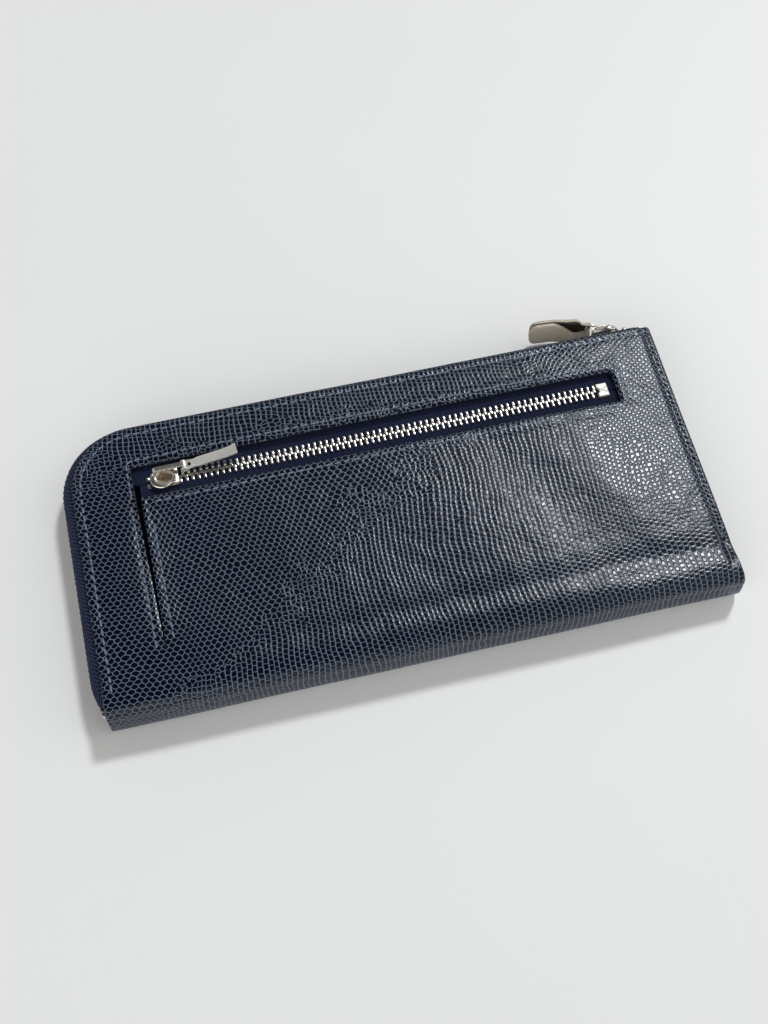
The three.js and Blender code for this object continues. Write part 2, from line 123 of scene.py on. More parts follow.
class Nodes:
    """Short names for building a material's nodes."""

    def __init__(self, name):
        self.material = bpy.data.materials.new(name)
        self.material.use_nodes = True
        self.tree = self.material.node_tree
        self.shader = self.tree.nodes["Principled BSDF"]

    def new(self, kind, *values, **named):
        """values go to the node's first inputs, in order."""
        node = self.tree.nodes.new("ShaderNode" + kind)
        for socket, value in zip(node.inputs, values):
            self.put(socket, value)
        for key, value in named.items():
            self.put(node.inputs[key], value)
        return node

    def put(self, socket, value):
        if isinstance(value, Value):
            self.tree.links.new(value.socket, socket)
        else:
            socket.default_value = value

    def math(self, operation, a, b=0.0, c=0.0):
        node = self.new("Math", a, b, c)
        node.operation = operation
        return Value(self, node.outputs[0])

    def vec(self, operation, a, b=(0, 0, 0)):
        node = self.new("VectorMath", a, b)
        node.operation = operation
        return Value(self, node.outputs["Value" if operation in ("DOT_PRODUCT", "LENGTH") else "Vector"])

    def uv(self):
        node = self.new("UVMap")
        node.uv_map = "mm"
        return Value(self, node.outputs[0])

    def position(self):
        return Value(self, self.new("TexCoord").outputs["Object"])

    def split(self, vector):
        return [Value(self, socket) for socket in self.new("SeparateXYZ", vector).outputs]

    def noise(self, vector, scale, detail=2.0, rough=0.5, output="Fac"):
        node = self.new("TexNoise", Vector=vector, Scale=scale, Detail=detail, Roughness=rough)
        return Value(self, node.outputs[output])

    def ramp(self, value, low, high):
        node = self.new("MapRange", value, low, high)
        node.interpolation_type = "SMOOTHSTEP"
        return Value(self, node.outputs[0])

    def mix(self, factor, a, b, kind="RGBA"):
        node = self.new("Mix", factor)
        node.data_type = kind
        first, second, result = {"FLOAT": (2, 3, 0), "RGBA": (6, 7, 2), "VECTOR": (4, 5, 1)}[kind]
        self.put(node.inputs[first], a)
        self.put(node.inputs[second], b)
        return Value(self, node.outputs[result])

    def finish(self, color, rough, height=None, metallic=0.0, specular=0.5):
        """height is in mm."""
        self.put(self.shader.inputs["Base Color"], color)
        self.put(self.shader.inputs["Roughness"], rough)
        self.put(self.shader.inputs["Metallic"], metallic)
        self.put(self.shader.inputs["Specular IOR Level"], specular)
        if height is not None:
            bump = self.new("Bump", Height=height, Distance=MM)
            self.put(self.shader.inputs["Normal"], Value(self, bump.outputs[0]))
        return self.material


def scales(n, p, wide, tall):
    """Distance from a scale's edge, in mm: wide apart in x, tall in y, every other row moved by half."""
    step = (wide, tall, 1.0)
    near = []
    for shift in (0.0, 0.5):
        moved = n.vec("ADD", p, (wide * shift, tall * shift, 0))
        offset = n.vec("MULTIPLY", n.vec("FRACTION", n.vec("DIVIDE", moved, step)), step)
        offset = n.vec("ABSOLUTE", n.vec("SUBTRACT", offset, (wide / 2, tall / 2, 0)))
        offset = n.vec("MULTIPLY", offset, (1, 1, 0))
        near.append((offset, n.vec("LENGTH", offset)))
    (a, to_a), (b, to_b) = near
    here = n.mix(n.math("GREATER_THAN", to_a, to_b), a, b, "VECTOR")
    x, y, _ = n.split(here)
    half = math.hypot(wide, tall) / 2
    slope = n.vec("DOT_PRODUCT", here, (wide / 2 / half, tall / 2 / half, 0))
    straight = n.math("MINIMUM", wide / 2 - x, tall / 2 - y)
    return n.math("SMOOTH_MIN", half / 2 - slope, straight, 0.25)


def to_line(n, value, size):
    """Distance to the nearest of lines a size apart."""
    return size / 2 - abs(n.math("FLOORED_MODULO", value, size) - size / 2)


def columns(n, x, y, wide, tall, stagger):
    """As scales, in unbroken columns, each moved along by its share of a scale."""
    along = y + n.math("FLOOR", x / wide) * (tall * stagger)
    across = to_line(n, x, wide)
    return n.math("SMOOTH_MIN", across - 0.03, to_line(n, along, tall) + 0.04, 0.35)


def irregular(n, p, size):
    """Distance from a scale's edge among scales of uneven shape, in mm."""
    squashed = n.vec("MULTIPLY", p, (1.0, 1.12, 0.0))
    cells = n.new("TexVoronoi", Vector=squashed, Scale=1 / size, Randomness=0.62)
    cells.feature = "DISTANCE_TO_EDGE"
    cells.voronoi_dimensions = "2D"
    return Value(n, cells.outputs["Distance"]) * (size * 0.95)


def border(n, uv, beyond, first, second, uneven):
    """second where beyond is over zero, first under it, and a wavy band of uneven scales between them."""
    half_band = 4.0
    wave = n.noise(uv, 0.055, 3.0, 0.65) - 0.5
    ripple = n.noise(uv, 0.19, 2.0, 0.6) - 0.5
    beyond = beyond + wave * 46.0 + ripple * 16.0
    here = n.mix(n.math("GREATER_THAN", beyond, 0.0), first, second, "FLOAT")
    within = n.math("LESS_THAN", abs(beyond), half_band)
    return n.mix(within, here, uneven, "FLOAT")


def lizard(name):
    n = Nodes(name)
    uv = n.uv()
    p = uv
    for scale, detail, amount in ((0.018, 1.0, 11), (0.16, 2.0, 1.7)):
        drift = n.vec("SUBTRACT", n.noise(uv, scale, detail, 0.5, "Color"), (0.5, 0.5, 0.5))
        p = n.vec("ADD", p, n.vec("MULTIPLY", drift, (amount, amount, 0)))
    x, y, _ = n.split(p)
    uneven = irregular(n, p, 1.62)
    # rows of wide ovals on the left
    edge = scales(n, p, 1.95, 2.82)
    # columns in the middle and the lower right
    edge = border(n, uv, x * 0.61 - y * 0.79 + 5.0, edge, columns(n, x, y, 1.63, 1.55, 0.5), uneven)
    # a grid along the zip
    leaning = y + x * 0.10
    edge = border(n, uv, y + x * 0.04 - 31.0, edge, columns(n, x, leaning, 1.56, 1.48, 0.1), uneven)
    # a turned grid at the closed side
    u = x * 0.77 + y * 0.64
    v = y * 0.77 - x * 0.64
    edge = border(n, uv, x + y * 0.55 - 78.0, edge, columns(n, u, v, 1.40, 1.40, 0.0), uneven)
    speck = n.noise(uv, 3.1, 2.0, 0.6)
    edge = edge + (speck - 0.5) * 0.20
    cell = n.ramp(edge, 0.065, 0.165)
    dome = n.ramp(edge, 0.03, 0.46)
    tone = n.noise(uv, 0.035, 3.0, 0.6)
    net = n.mix(tone, (0.054, 0.078, 0.122, 1), (0.120, 0.160, 0.218, 1))
    net = n.mix(n.ramp(speck, 0.35, 0.7) * 0.4, net, (0.17, 0.215, 0.28, 1))
    dark = n.mix(tone, (0.0006, 0.0011, 0.0060, 1), (0.0014, 0.0026, 0.0110, 1))
    color = n.mix(cell, net, dark)
    rough = n.mix(cell, 0.42, speck * 0.14 + 0.13, "FLOAT")
    pores = n.noise(uv, 6.0, 2.0, 0.6)
    swell = n.noise(uv, 0.13, 2.0, 0.5)
    height = dome * 0.042 + pores * 0.004 + swell * 0.30
    return n.finish(color, rough, height, specular=0.31)


def smooth_leather(name, light, dark, rough, grain=0.03):
    n = Nodes(name)
    uv = n.uv()
    cloud = n.noise(uv, 0.12, 3.0, 0.6)
    pore = n.noise(uv, 3.2, 3.0, 0.65)
    wrinkle = n.noise(n.vec("MULTIPLY", uv, (1, 1.6, 1)), 0.9, 3.0, 0.55)
    color = n.mix(cloud * 0.6 + pore * 0.4, dark, light)
    return n.finish(color, pore * 0.16 + (rough - 0.08), pore * grain + wrinkle * (grain * 1.4))


def weave(name, light, dark, pitch, band, depth):
    """Twill that turns back on itself every band: herringbone."""
    n = Nodes(name)
    uv = n.uv()
    x, y, _ = n.split(uv)
    zigzag = n.math("PINGPONG", y, band)
    across = n.math("SINE", (x + zigzag) * (2 * math.pi / (pitch * 1.5)))
    threads = n.math("SINE", x * (2 * math.pi / pitch))
    turns = n.math("SINE", y * (2 * math.pi / (pitch * 0.8)))
    fibre = n.noise(uv, 5.0, 3.0, 0.7)
    relief = across * 0.85 + threads * turns * 0.3 + fibre * 0.7
    return n.finish(n.mix(n.ramp(relief, -0.6, 1.5), dark, light), 0.82, relief * depth, specular=0.2)


def metal(name, tint, rough, metallic=1.0):
    n = Nodes(name)
    position = n.position()
    smudge = n.noise(position, 140.0, 3.0, 0.6)
    brush = n.noise(n.vec("MULTIPLY", position, (0.25, 2.0, 2.0)), 4200.0, 2.0, 0.6)
    shade = tuple(c * 0.86 for c in tint[:3]) + (1,)
    level = smudge * 0.14 + brush * 0.05 + (rough - 0.06)
    return n.finish(n.mix(smudge, shade, tint), level, brush * 0.006, metallic)


def twisted_thread(name, light, dark):
    n = Nodes(name)
    uv = n.uv()
    x, y, _ = n.split(uv)
    ply = n.math("SINE", (x + y) * 9.0)
    fuzz = n.noise(uv, 4.0, 2.0, 0.6)
    return n.finish(n.mix(n.ramp(ply + fuzz, -0.8, 1.6), dark, light), 0.6, ply * 0.05)


def paint(name, color):
    n = Nodes(name)
    lumps = n.noise(n.uv(), 1.2, 3.0, 0.6)
    worn = n.mix(n.ramp(lumps, 0.45, 0.75), color, tuple(c * 1.9 for c in color[:3]) + (1,))
    return n.finish(worn, lumps * 0.25 + 0.32, lumps * 0.05)


LIZARD = lizard("lizard_leather")
EDGE = paint("edge_paint", (0.010, 0.012, 0.018, 1))
BACKING = smooth_leather("leather_backing", (0.020, 0.026, 0.045, 1), (0.012, 0.016, 0.030, 1), 0.75, 0.05)
GREIGE = smooth_leather("smooth_leather", (0.36, 0.315, 0.255, 1), (0.27, 0.235, 0.19, 1), 0.6)
PULL = smooth_leather("pull_leather", (0.74, 0.665, 0.54, 1), (0.60, 0.535, 0.43, 1), 0.45)
PULL_EDGE = paint("pull_edge", (0.40, 0.355, 0.28, 1))
# dark paint for the glue line where the pull's two layers meet, and painted shade on the inside face of one
# layer
GLUE_LINE_AND_SHADE = paint("glue_line_and_painted_shade", (0.020, 0.017, 0.014, 1))
TAPE = weave("zip_tape", (0.020, 0.029, 0.086, 1), (0.001, 0.002, 0.010, 1), 0.62, 2.4, 0.13)
WIDE_TAPE = weave("main_zip_tape", (0.034, 0.048, 0.120, 1), (0.001, 0.002, 0.008, 1), 0.86, 2.6, 0.22)
PLAIN = 400.0  # a band wider than any sheet, so the weave doesn't turn back
LINING = weave("lining", (0.34, 0.305, 0.255, 1), (0.22, 0.195, 0.155, 1), 0.36, PLAIN, 0.05)
DARK_LINING = weave("dark_lining", (0.030, 0.036, 0.060, 1), (0.014, 0.018, 0.034, 1), 0.36, PLAIN, 0.05)
NICKEL = metal("nickel", (0.80, 0.765, 0.69, 1), 0.2)
# dark brown nickel for the floor of a slider's hollow: painted shade in the recess
HOLLOW_SHADE = metal("nickel_hollow_painted_shade", (0.33, 0.27, 0.19, 1), 0.34)
SATIN = metal("satin_nickel", (0.84, 0.815, 0.745, 1), 0.36, 0.72)
STAMPED = metal("stamped_nickel", (0.50, 0.485, 0.45, 1), 0.44, 0.9)
TEETH = metal("zip_teeth", (0.86, 0.83, 0.75, 1), 0.22)
THREAD = twisted_thread("thread", (0.21, 0.26, 0.34, 1), (0.08, 0.11, 0.16, 1))
TAN_THREAD = twisted_thread("tan_thread", (0.42, 0.37, 0.30, 1), (0.24, 0.20, 0.155, 1))


# ---------------------------------------------------------------- mesh helpers
def smooth(t):
    t = np.clip(t, 0, 1)
    return t * t * (3 - 2 * t)


def bell(t):
    return np.exp(-t * t)


class Mesh:
    """Gathers vertices in mm, with a uv in mm for each, and faces with a material number."""

    def __init__(self):
        self.v, self.uv, self.f, self.m = [], [], [], []
        self.count = 0

    def add(self, verts, faces, uv=None, mat=0):
        verts = np.asarray(verts, float).reshape(-1, 3)
        self.v.append(verts)
        self.uv.append(verts[:, :2] if uv is None else np.asarray(uv, float).reshape(-1, 2))
        self.f += [[i + self.count for i in face] for face in faces]
        self.m += [mat] * len(faces)
        self.count += len(verts)
        return self

    def template(self):
        return np.vstack(self.v), [tuple(f) for f in self.f]

    def object(self, name, materials, slot, angle):
        """angle: edges sharper than this, in degrees, aren't shaded smooth."""
        v, uv = np.vstack(self.v), np.vstack(self.uv)
        mesh = bpy.data.meshes.new(name)
        mesh.from_pydata((v * MM).tolist(), [], self.f)
        layer = mesh.uv_layers.new(name="mm")
        corners = np.empty(len(mesh.loops), dtype=np.int32)
        mesh.loops.foreach_get("vertex_index", corners)
        layer.data.foreach_set("uv", uv[corners].astype(np.float32).ravel())
        for material in materials:
            mesh.materials.append(material)
        mesh.polygons.foreach_set("material_index", self.m)
        mesh.validate()
        mesh.update()
        mesh.shade_smooth()
        mesh.set_sharp_from_angle(angle=math.radians(angle))
        made = bpy.data.objects.new(name, mesh)
        bpy.context.scene.collection.objects.link(made)
        return made

    def rigid(self, name, materials, slot, angle, body, *nodes):
        """The object in the place of its CAD nodes, on one body."""
        made = self.object(name, materials, slot, angle)
        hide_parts(*nodes)
        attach(made, body)


def unit(v):
    return v / np.linalg.norm(v, axis=-1, keepdims=True)


def frames(points, closed=False):
    """Unit tangents of a line of 2D or 3D points."""
    points = np.asarray(points, float)
    if closed:
        step = np.roll(points, -1, 0) - np.roll(points, 1, 0)
    else:
        step = np.gradient(points, axis=0)
    return step / np.maximum(np.linalg.norm(step, axis=1, keepdims=True), 1e-9)


def lengths(points):
    step = np.linalg.norm(np.diff(points, axis=0), axis=1)
    return np.concatenate([[0], np.cumsum(step)])


def resample(points, pitch, closed=False):
    points = np.asarray(points, float)
    if closed:
        points = np.vstack([points, points[:1]])
    run = lengths(points)
    count = max(2, int(round(run[-1] / pitch)) + 1)
    at = np.linspace(0, run[-1], count)
    made = np.stack([np.interp(at, run, points[:, k]) for k in range(points.shape[1])], 1)
    return made[:-1] if closed else made


def left_of(t):
    """2D directions turned a quarter to the left."""
    return np.stack([-t[:, 1], t[:, 0]], 1)


def spread(*parts):
    """A grid of points from the coordinates' arrays, repeated where one is shorter."""
    return np.stack(np.broadcast_arrays(*parts), -1)


def pairs(a, b):
    """A grid of every a with every b."""
    return spread(a[:, None], b[None])


def edge_uv(run, rows):
    """uv for rows of points along an edge, half a mm apart."""
    return np.vstack([np.stack([run, np.full(len(run), i * 0.5)], 1) for i in range(rows)])


def arc(centre, radius, start, end, steps):
    a = np.radians(np.linspace(start, end, steps + 1))
    return np.stack([centre[0] + radius * np.cos(a), centre[1] + radius * np.sin(a)], 1)


def grid_faces(rows, columns, closed=False):
    faces = []
    for i in range(rows - 1):
        for j in range(columns if closed else columns - 1):
            k = (j + 1) % columns
            faces.append((i * columns + j, i * columns + k, (i + 1) * columns + k, (i + 1) * columns + j))
    return faces


def rod_faces(rows, columns):
    """Faces of a closed rod of rings, with both ends shut."""
    first = tuple(range(columns))[::-1]
    last = tuple((rows - 1) * columns + i for i in range(columns))
    return grid_faces(rows, columns, closed=True) + [first, last]


def flipped(faces):
    return [face[::-1] for face in faces]


def sweep(mesh, path, normal, section):
    """Runs a closed section of (out, up) pairs along a 3D path. normal: the out direction at each point."""
    up = unit(np.cross(frames(path), normal))
    section = np.asarray(section, float)
    rings = path[:, None] + section[None, :, :1] * normal[:, None] + section[None, :, 1:] * up[:, None]
    round_section = lengths(np.vstack([section, section[:1]]))[:-1]
    return mesh.add(rings, rod_faces(len(path), len(section)), pairs(lengths(path), round_section))


def block_template(size, round_by):
    """A block with rounded edges, as (vertices, faces)."""
    b = bmesh.new()
    bmesh.ops.create_cube(b, size=1)
    bmesh.ops.scale(b, vec=size, verts=b.verts)
    bmesh.ops.bevel(b, geom=b.edges[:], offset=round_by, segments=2, profile=0.5, affect="EDGES")
    b.verts.ensure_lookup_table()
    made = np.array([v.co[:] for v in b.verts]), [tuple(v.index for v in f.verts) for f in b.faces]
    b.free()
    return made


def place(mesh, template, at, x=(1, 0, 0), y=(0, 1, 0), z=(0, 0, 1), uv_shift=0.0):
    """A template set down at a point, with its own axes."""
    verts, faces = template
    moved = verts @ np.stack([x, y, z]).astype(float) + np.asarray(at, float)
    return mesh.add(moved, faces, verts[:, :2] + uv_shift)


def plate(mesh, outline, low, high, bevel, move=None):
    """A flat plate with rounded rims from a closed 2D outline, counter-clockwise."""
    inward = left_of(frames(outline, closed=True))
    profile = [(bevel, low), (bevel * 0.3, low + bevel * 0.3), (0, low + bevel), (0, high - bevel),
               (bevel * 0.3, high - bevel * 0.3), (bevel, high)]
    n = len(outline)
    verts = np.vstack([np.column_stack([outline + inward * inset, np.full(n, z)]) for inset, z in profile])
    moved = verts if move is None else move(verts)
    return mesh.add(moved, rod_faces(len(profile), n), verts[:, :2])


def tube(mesh, path, radius, sides=10, mat=0, closed=False, flat=1.0):
    """A round bar along a 3D path."""
    path = np.asarray(path, float)
    t = frames(path, closed)
    guide = np.array([0.0, 0.0, 1.0]) if abs(t[:, 2]).max() < 0.9 else np.array([0.31, 0.95, 0.05])
    side = unit(np.cross(t, guide))
    up = np.cross(side, t)
    a = np.linspace(0, 2 * math.pi, sides, endpoint=False)
    radius = np.broadcast_to(radius, len(path))[:, None, None]
    spoke = np.cos(a)[None, :, None] * side[:, None] + flat * np.sin(a)[None, :, None] * up[:, None]
    rings = path[:, None] + radius * spoke
    rows = len(path)
    if closed:
        last = (rows - 1) * sides
        faces = grid_faces(rows, sides, closed=True)
        faces += [(last + j, last + (j + 1) % sides, (j + 1) % sides, j) for j in range(sides)]
    else:
        faces = rod_faces(rows, sides)
    return mesh.add(rings, faces, pairs(lengths(path), a * 0.4), mat)


# ---------------------------------------------------------------- the leather's shape
SPINE_TOP_Y = BOTTOM + 11.5  # the covers are flat above this, and turn into the spine below it
SPINE_SQUARE = 4.8  # 2 would turn it in a half ellipse
LEATHER_THICK = 1.1
# How far the stitch lines lie inside the zipped sides, round the window and beside the slit
STITCH_INSET, WINDOW_STITCH, SLIT_STITCH = 2.7, 2.4, 2.6
_angle = np.radians(np.linspace(90, -90, 181))
_spine = np.stack([
    SPINE_TOP_Y - (SPINE_TOP_Y - BOTTOM) * np.abs(np.cos(_angle)) ** (2 / SPINE_SQUARE),
    T / 2 + (T / 2 - 0.05) * np.sign(np.sin(_angle)) * np.abs(np.sin(_angle)) ** (2 / SPINE_SQUARE),
], 1)
_spine_run = lengths(_spine)
SPINE_LENGTH = _spine_run[-1]
BACK_S = SPINE_TOP_Y - SPINE_LENGTH  # s where the back becomes flat. s equals y on the front.


def edge_distance(x, y):
    """How far inside the covers' outline: from the sides with the zip, and from the closed side."""
    zip_side = np.minimum(x - LEFT, TOP - y)
    round_corner = CORNER - np.hypot(np.minimum(x - CORNER_X, 0), np.maximum(y - CORNER_Y, 0))
    return np.where((x < CORNER_X) & (y > CORNER_Y), round_corner, zip_side), RIGHT - x


def slit_distance(x, y):
    """Distance from the slit's line, negative on the left of it."""
    below = np.maximum(SLIT_B - y, 0)
    above = np.maximum(y - WIN_B, 0)
    slit_x = WIN_L - 0.2
    d = np.hypot(x - slit_x, np.hypot(below, above))
    return np.where(x < slit_x, -d, d)


def relief(x, y):
    """Height of the front's surface over its nominal top."""
    zip_side, closed_side = edge_distance(x, y)
    # a pillow, lower towards both short sides, with slow waves
    puff = (1 - np.abs(x / RIGHT) ** 2.6) * (1 - np.abs((y + 2) / 52) ** 2.6)
    z = -0.22 + 1.15 * puff
    z = z - smooth((x - 60) / 36) * smooth((48 - y) / 40) - 0.2 * smooth((-x - 82) / 15)
    z = z + 0.16 * np.sin(x * 0.052 + 0.8) * np.cos(y * 0.061) + 0.07 * np.sin(x * 0.13 + y * 0.09)
    # a ridge along the spine with a dip beside it, a droop at their closed end, and a wrinkle
    z = z + 0.32 * bell((y + 41) / 2.4) * smooth((x + 60) / 100) - 0.28 * bell((y + 35) / 3.2)
    z = z - 0.0007 * np.minimum(y, 0) ** 2 * smooth((x - 25) / 50)
    z = z - 0.35 * bell(((x - 52) * 0.8 + (y + 12) * 0.6) / 9) * smooth((x - 20) / 30)
    # the zipped sides' rounded rim and stitch groove, and the closed side's pressed margin
    z = z - 0.35 * np.clip(1 - zip_side / LEATHER_THICK, 0, 1) ** 2
    z = z - 0.2 * bell((zip_side - STITCH_INSET) / 0.5)
    z = z - (0.95 - 0.35 * smooth(1 - closed_side / 3)) * smooth((3.5 - closed_side) / 0.8)
    z = z - 0.4 * np.clip(1 - closed_side / 0.8, 0, 1) ** 2
    # the window's raised border, rim and stitch groove
    dx = np.maximum(np.maximum(WIN_L - x, x - WIN_R), 0)
    dy = np.maximum(np.maximum(WIN_B - y, y - WIN_T), 0)
    window = np.hypot(dx, dy)
    z = z + 0.22 * smooth((4.2 - window) / 1.2) - 0.55 * np.clip(1 - window / 1.2, 0, 1) ** 2
    z = z - 0.2 * bell((window - WINDOW_STITCH) / 0.5)
    slit = slit_distance(x, y)
    low_end = smooth((y - SLIT_B) / 14)
    near = np.abs(slit)
    z = z - 0.5 * low_end * np.clip(1 - near / 1.2, 0, 1) ** 2
    z = z - 0.16 * bell((near - SLIT_STITCH) / 0.5) * low_end
    # the left edge sinks and the flap's edge stands up
    return z + np.where(slit < 0, -0.35 * bell(near / 3.0), 0.5 * bell(near / 4.0)) * low_end


def skin(x, s):
    """The leather's outer surface. s runs down the front, round the spine and up the back."""
    x, s = np.broadcast_arrays(np.asarray(x, float), np.asarray(s, float))
    run = np.clip(SPINE_TOP_Y - s, 0, SPINE_LENGTH)
    y = np.interp(run, _spine_run, _spine[:, 0])
    z = np.interp(run, _spine_run, _spine[:, 1])
    y = np.where(s > SPINE_TOP_Y, s, y)
    y = np.where(s < BACK_S, SPINE_TOP_Y + (BACK_S - s), y)
    share = smooth((s - (SPINE_TOP_Y - 13)) / 16)  # the relief fades out round the spine
    z = z + share * relief(x, y)
    # the closed side and the zip's far end are pressed thinner, and the spine dips at its seam
    thin = 1 - 0.10 * smooth((x - 60) / 38) - 0.03 * smooth((-x - 80) / 18)
    z = np.where(z > 1, z * (1 - (1 - thin) * (1 - share)), z)
    sag = 0.25 * bell((run - 0.44 * SPINE_LENGTH) / 0.7) + 0.22 * bell((run - 0.70 * SPINE_LENGTH) / 0.5)
    wave = 0.12 * np.sin(x * 0.11) * bell((run - SPINE_LENGTH / 2) / 6)
    y = y + sag * (s < SPINE_TOP_Y) * (s > BACK_S) + wave
    # the back's rim turns in, and a groove holds its stitches
    zip_side, closed_side = edge_distance(x, y)
    rim = np.clip(1 - np.minimum(zip_side, closed_side), 0, 1)
    z = np.where(s < BACK_S, z + (0.35 * rim ** 2 + 0.5 * bell((zip_side - STITCH_INSET) / 0.8)), z)
    return np.stack([x, y, z], -1)


def cover_z(x, y):
    """Height of the front's leather over a point of the plan."""
    down = np.clip((SPINE_TOP_Y - y) / (SPINE_TOP_Y - BOTTOM), 0, 1)
    drop = T / 2 * (1 - (1 - down ** SPINE_SQUARE) ** (1 / SPINE_SQUARE))
    return skin(x, np.maximum(y, SPINE_TOP_Y))[..., 2] - drop


def skin_normal(x, s, surface=skin):
    h = 0.05
    fx = surface(x + h, s) - surface(x - h, s)
    fs = surface(x, s + h) - surface(x, s - h)
    return unit(np.cross(fx, fs))


def inside(points, loop):
    """Which points lie inside a closed 2D loop."""
    x, y = points[:, 0][:, None], points[:, 1][:, None]
    x1, y1 = loop[:, 0][None], loop[:, 1][None]
    x2, y2 = np.roll(loop[:, 0], -1)[None], np.roll(loop[:, 1], -1)[None]
    crosses = (y1 > y) != (y2 > y)
    at = x1 + (y - y1) * (x2 - x1) / np.where(y2 == y1, 1e-9, y2 - y1)
    return (np.sum(crosses & (x < at), 1) % 2) == 1


def distance_to(points, a, b):
    """Distance from each point to the nearest of the segments a-b."""
    best = np.full(len(points), 1e9)
    d = b - a
    size = np.maximum((d * d).sum(1), 1e-12)
    for k in range(0, len(points), 4000):
        p = points[k:k + 4000, None]
        t = np.clip(((p - a) * d).sum(2) / size, 0, 1)
        best[k:k + 4000] = np.sqrt((((p - a) - t[..., None] * d) ** 2).sum(2).min(1))
    return best


def leather(name, loops, thick, pitch, materials, slot, surface, rows, turn):
    """A sheet of leather on a surface, from a net of points pitch apart.
    loops: closed 2D loops, the first outside and the rest holes, each with a mark on every point whose
    following edge is free, and so has a painted edge that stands out by turn.
    rows: how far inside the free edges closer rows of points lie."""
    least = 0.7  # between the net and the loops
    loops = [(np.asarray(p, float), np.asarray(free, bool)) for p, free in loops]
    starts = np.cumsum([0] + [len(p) for p, _ in loops])
    rim = np.vstack([p for p, _ in loops])
    nexts = np.concatenate([np.roll(np.arange(len(p)), -1) + k for (p, _), k in zip(loops, starts)])
    free = np.concatenate([f for _, f in loops])
    a, b = rim, rim[nexts]

    def within(points):
        ok = inside(points, loops[0][0])
        for hole, _ in loops[1:]:
            ok &= ~inside(points, hole)
        return ok

    low, high = rim.min(0), rim.max(0)
    xs = np.arange(low[0], high[0], pitch)
    ys = np.arange(low[1], high[1], pitch * 0.866)
    net = np.stack(np.meshgrid(xs, ys), -1)
    net[1::2, :, 0] += pitch / 2
    net = net.reshape(-1, 2)
    net = net[within(net)]
    away = distance_to(net, a[free], b[free])
    net = net[(away > rows[-1] + least) & (distance_to(net, a, b) > least)]
    extra = []
    for depth in rows:
        for p, f in loops:
            inward = left_of(frames(p, closed=True))
            for sign in (1, -1):
                moved = (p + sign * depth * inward)[f | np.roll(f, 1)]
                moved = moved[within(moved)]
                if len(moved):
                    extra.append(moved[distance_to(moved, a, b) > depth * 0.93])
    points = np.vstack([rim, net] + extra)
    edges = [(i, int(nexts[i])) for i in range(len(rim))]
    out = delaunay_2d_cdt([Vector(p) for p in points], edges, [], 0, 1e-5)
    plane = np.array([v[:] for v in out[0]])
    tris = np.array([f[:] for f in out[2]])
    middle = plane[tris].mean(1)
    tris = tris[within(middle)]
    area = np.cross(plane[tris[:, 1]] - plane[tris[:, 0]], plane[tris[:, 2]] - plane[tris[:, 0]])
    tris[area < 0] = tris[area < 0][:, ::-1]
    tris = tris[np.abs(area) > 1e-6]
    new_of = {}
    for i, old in enumerate(out[3]):
        for o in old:
            new_of[o] = i
    top = surface(plane[:, 0], plane[:, 1])
    normal = skin_normal(plane[:, 0], plane[:, 1], surface)
    bottom = top - normal * thick
    mesh = Mesh().add(top, tris.tolist(), plane, 0)
    mesh.add(bottom, tris[:, ::-1].tolist(), plane, 2)
    # a rounded, painted edge along the free parts of the rim
    for k, (p, f) in enumerate(loops):
        ids = np.array([new_of[i] for i in range(starts[k], starts[k + 1])])
        ahead, behind = p + 0.05 * frames(p, closed=True), p - 0.05 * frames(p, closed=True)
        step = unit(surface(ahead[:, 0], ahead[:, 1]) - surface(behind[:, 0], behind[:, 1]))
        out_dir = np.cross(step, normal[ids])
        signed = 0.5 * np.sum(p[:, 0] * np.roll(p[:, 1], -1) - np.roll(p[:, 0], -1) * p[:, 1])
        if (signed < 0) == (k == 0):
            out_dir = -out_dir
        run = lengths(np.vstack([p, p[:1]]))[:-1]
        rings = [top[ids]]
        for along, down in ((0.6, 0.22), (1.0, 0.5), (0.6, 0.78), (0.0, 1.0)):
            rings.append(top[ids] + out_dir * turn * along - normal[ids] * thick * down)
        m = len(p)
        faces, forward = [], (signed > 0) == (k == 0)
        for i in np.nonzero(f)[0]:
            j = (i + 1) % m
            for r in range(4):
                quad = (r * m + i, (r + 1) * m + i, (r + 1) * m + j, r * m + j)
                faces.append(quad if forward else quad[::-1])
        mesh.add(rings, faces, edge_uv(run, len(rings)), 1)
    return mesh.object(name, materials, slot, 60)


# ---------------------------------------------------------------- outer leather
BACK_TOP_S = BACK_S - (TOP - SPINE_TOP_Y)
STEP = 0.9  # between points along the outer leather's edges
COVER_ROWS = (0.5, 1.1, 1.9, 2.6, 3.3, 4.2)


def cover_loop():
    """Outline of the leather from the front's zipped side to the back's, in x and s."""
    small = 1.5
    return resample(np.vstack([
        [[RIGHT, TOP - small]], arc((RIGHT - small, TOP - small), small, 0, 90, 4)[1:],
        arc((CORNER_X, CORNER_Y), CORNER, 90, 180, 34),
        arc((CORNER_X, BACK_TOP_S + CORNER), CORNER, 180, 270, 34),
        arc((RIGHT - small, BACK_TOP_S + small), small, 270, 360, 4),
    ]), STEP, closed=True)


SLIT_END_GAP = 0.35
SLIT_HEAD, SLIT_FOOT = WIN_L + 0.35, WIN_L + 0.05  # x of the slit's right edge at its two ends
SLIT_LEFT_HEAD = SLIT_HEAD - 1.9
SEAM = 6.0  # the flap's own leather reaches this far past its hinge line
seam_low = HINGE - ACROSS * SEAM
window_corner = np.array([WIN_R, WIN_B])
seam_high = window_corner - ACROSS * (np.dot(window_corner - HINGE, ACROSS) + SEAM)
slit_right = resample([[SLIT_HEAD, WIN_B], [SLIT_FOOT, SLIT_B]], STEP)
slit_left = resample([[SLIT_FOOT - SLIT_END_GAP, SLIT_B], [SLIT_LEFT_HEAD, WIN_B]], STEP)
seams = [(resample(line, STEP), False) for line in (
    [slit_right[-1], seam_low], [seam_low, seam_high], [seam_high, window_corner])]
window_edge = resample([window_corner, slit_right[0]], STEP)


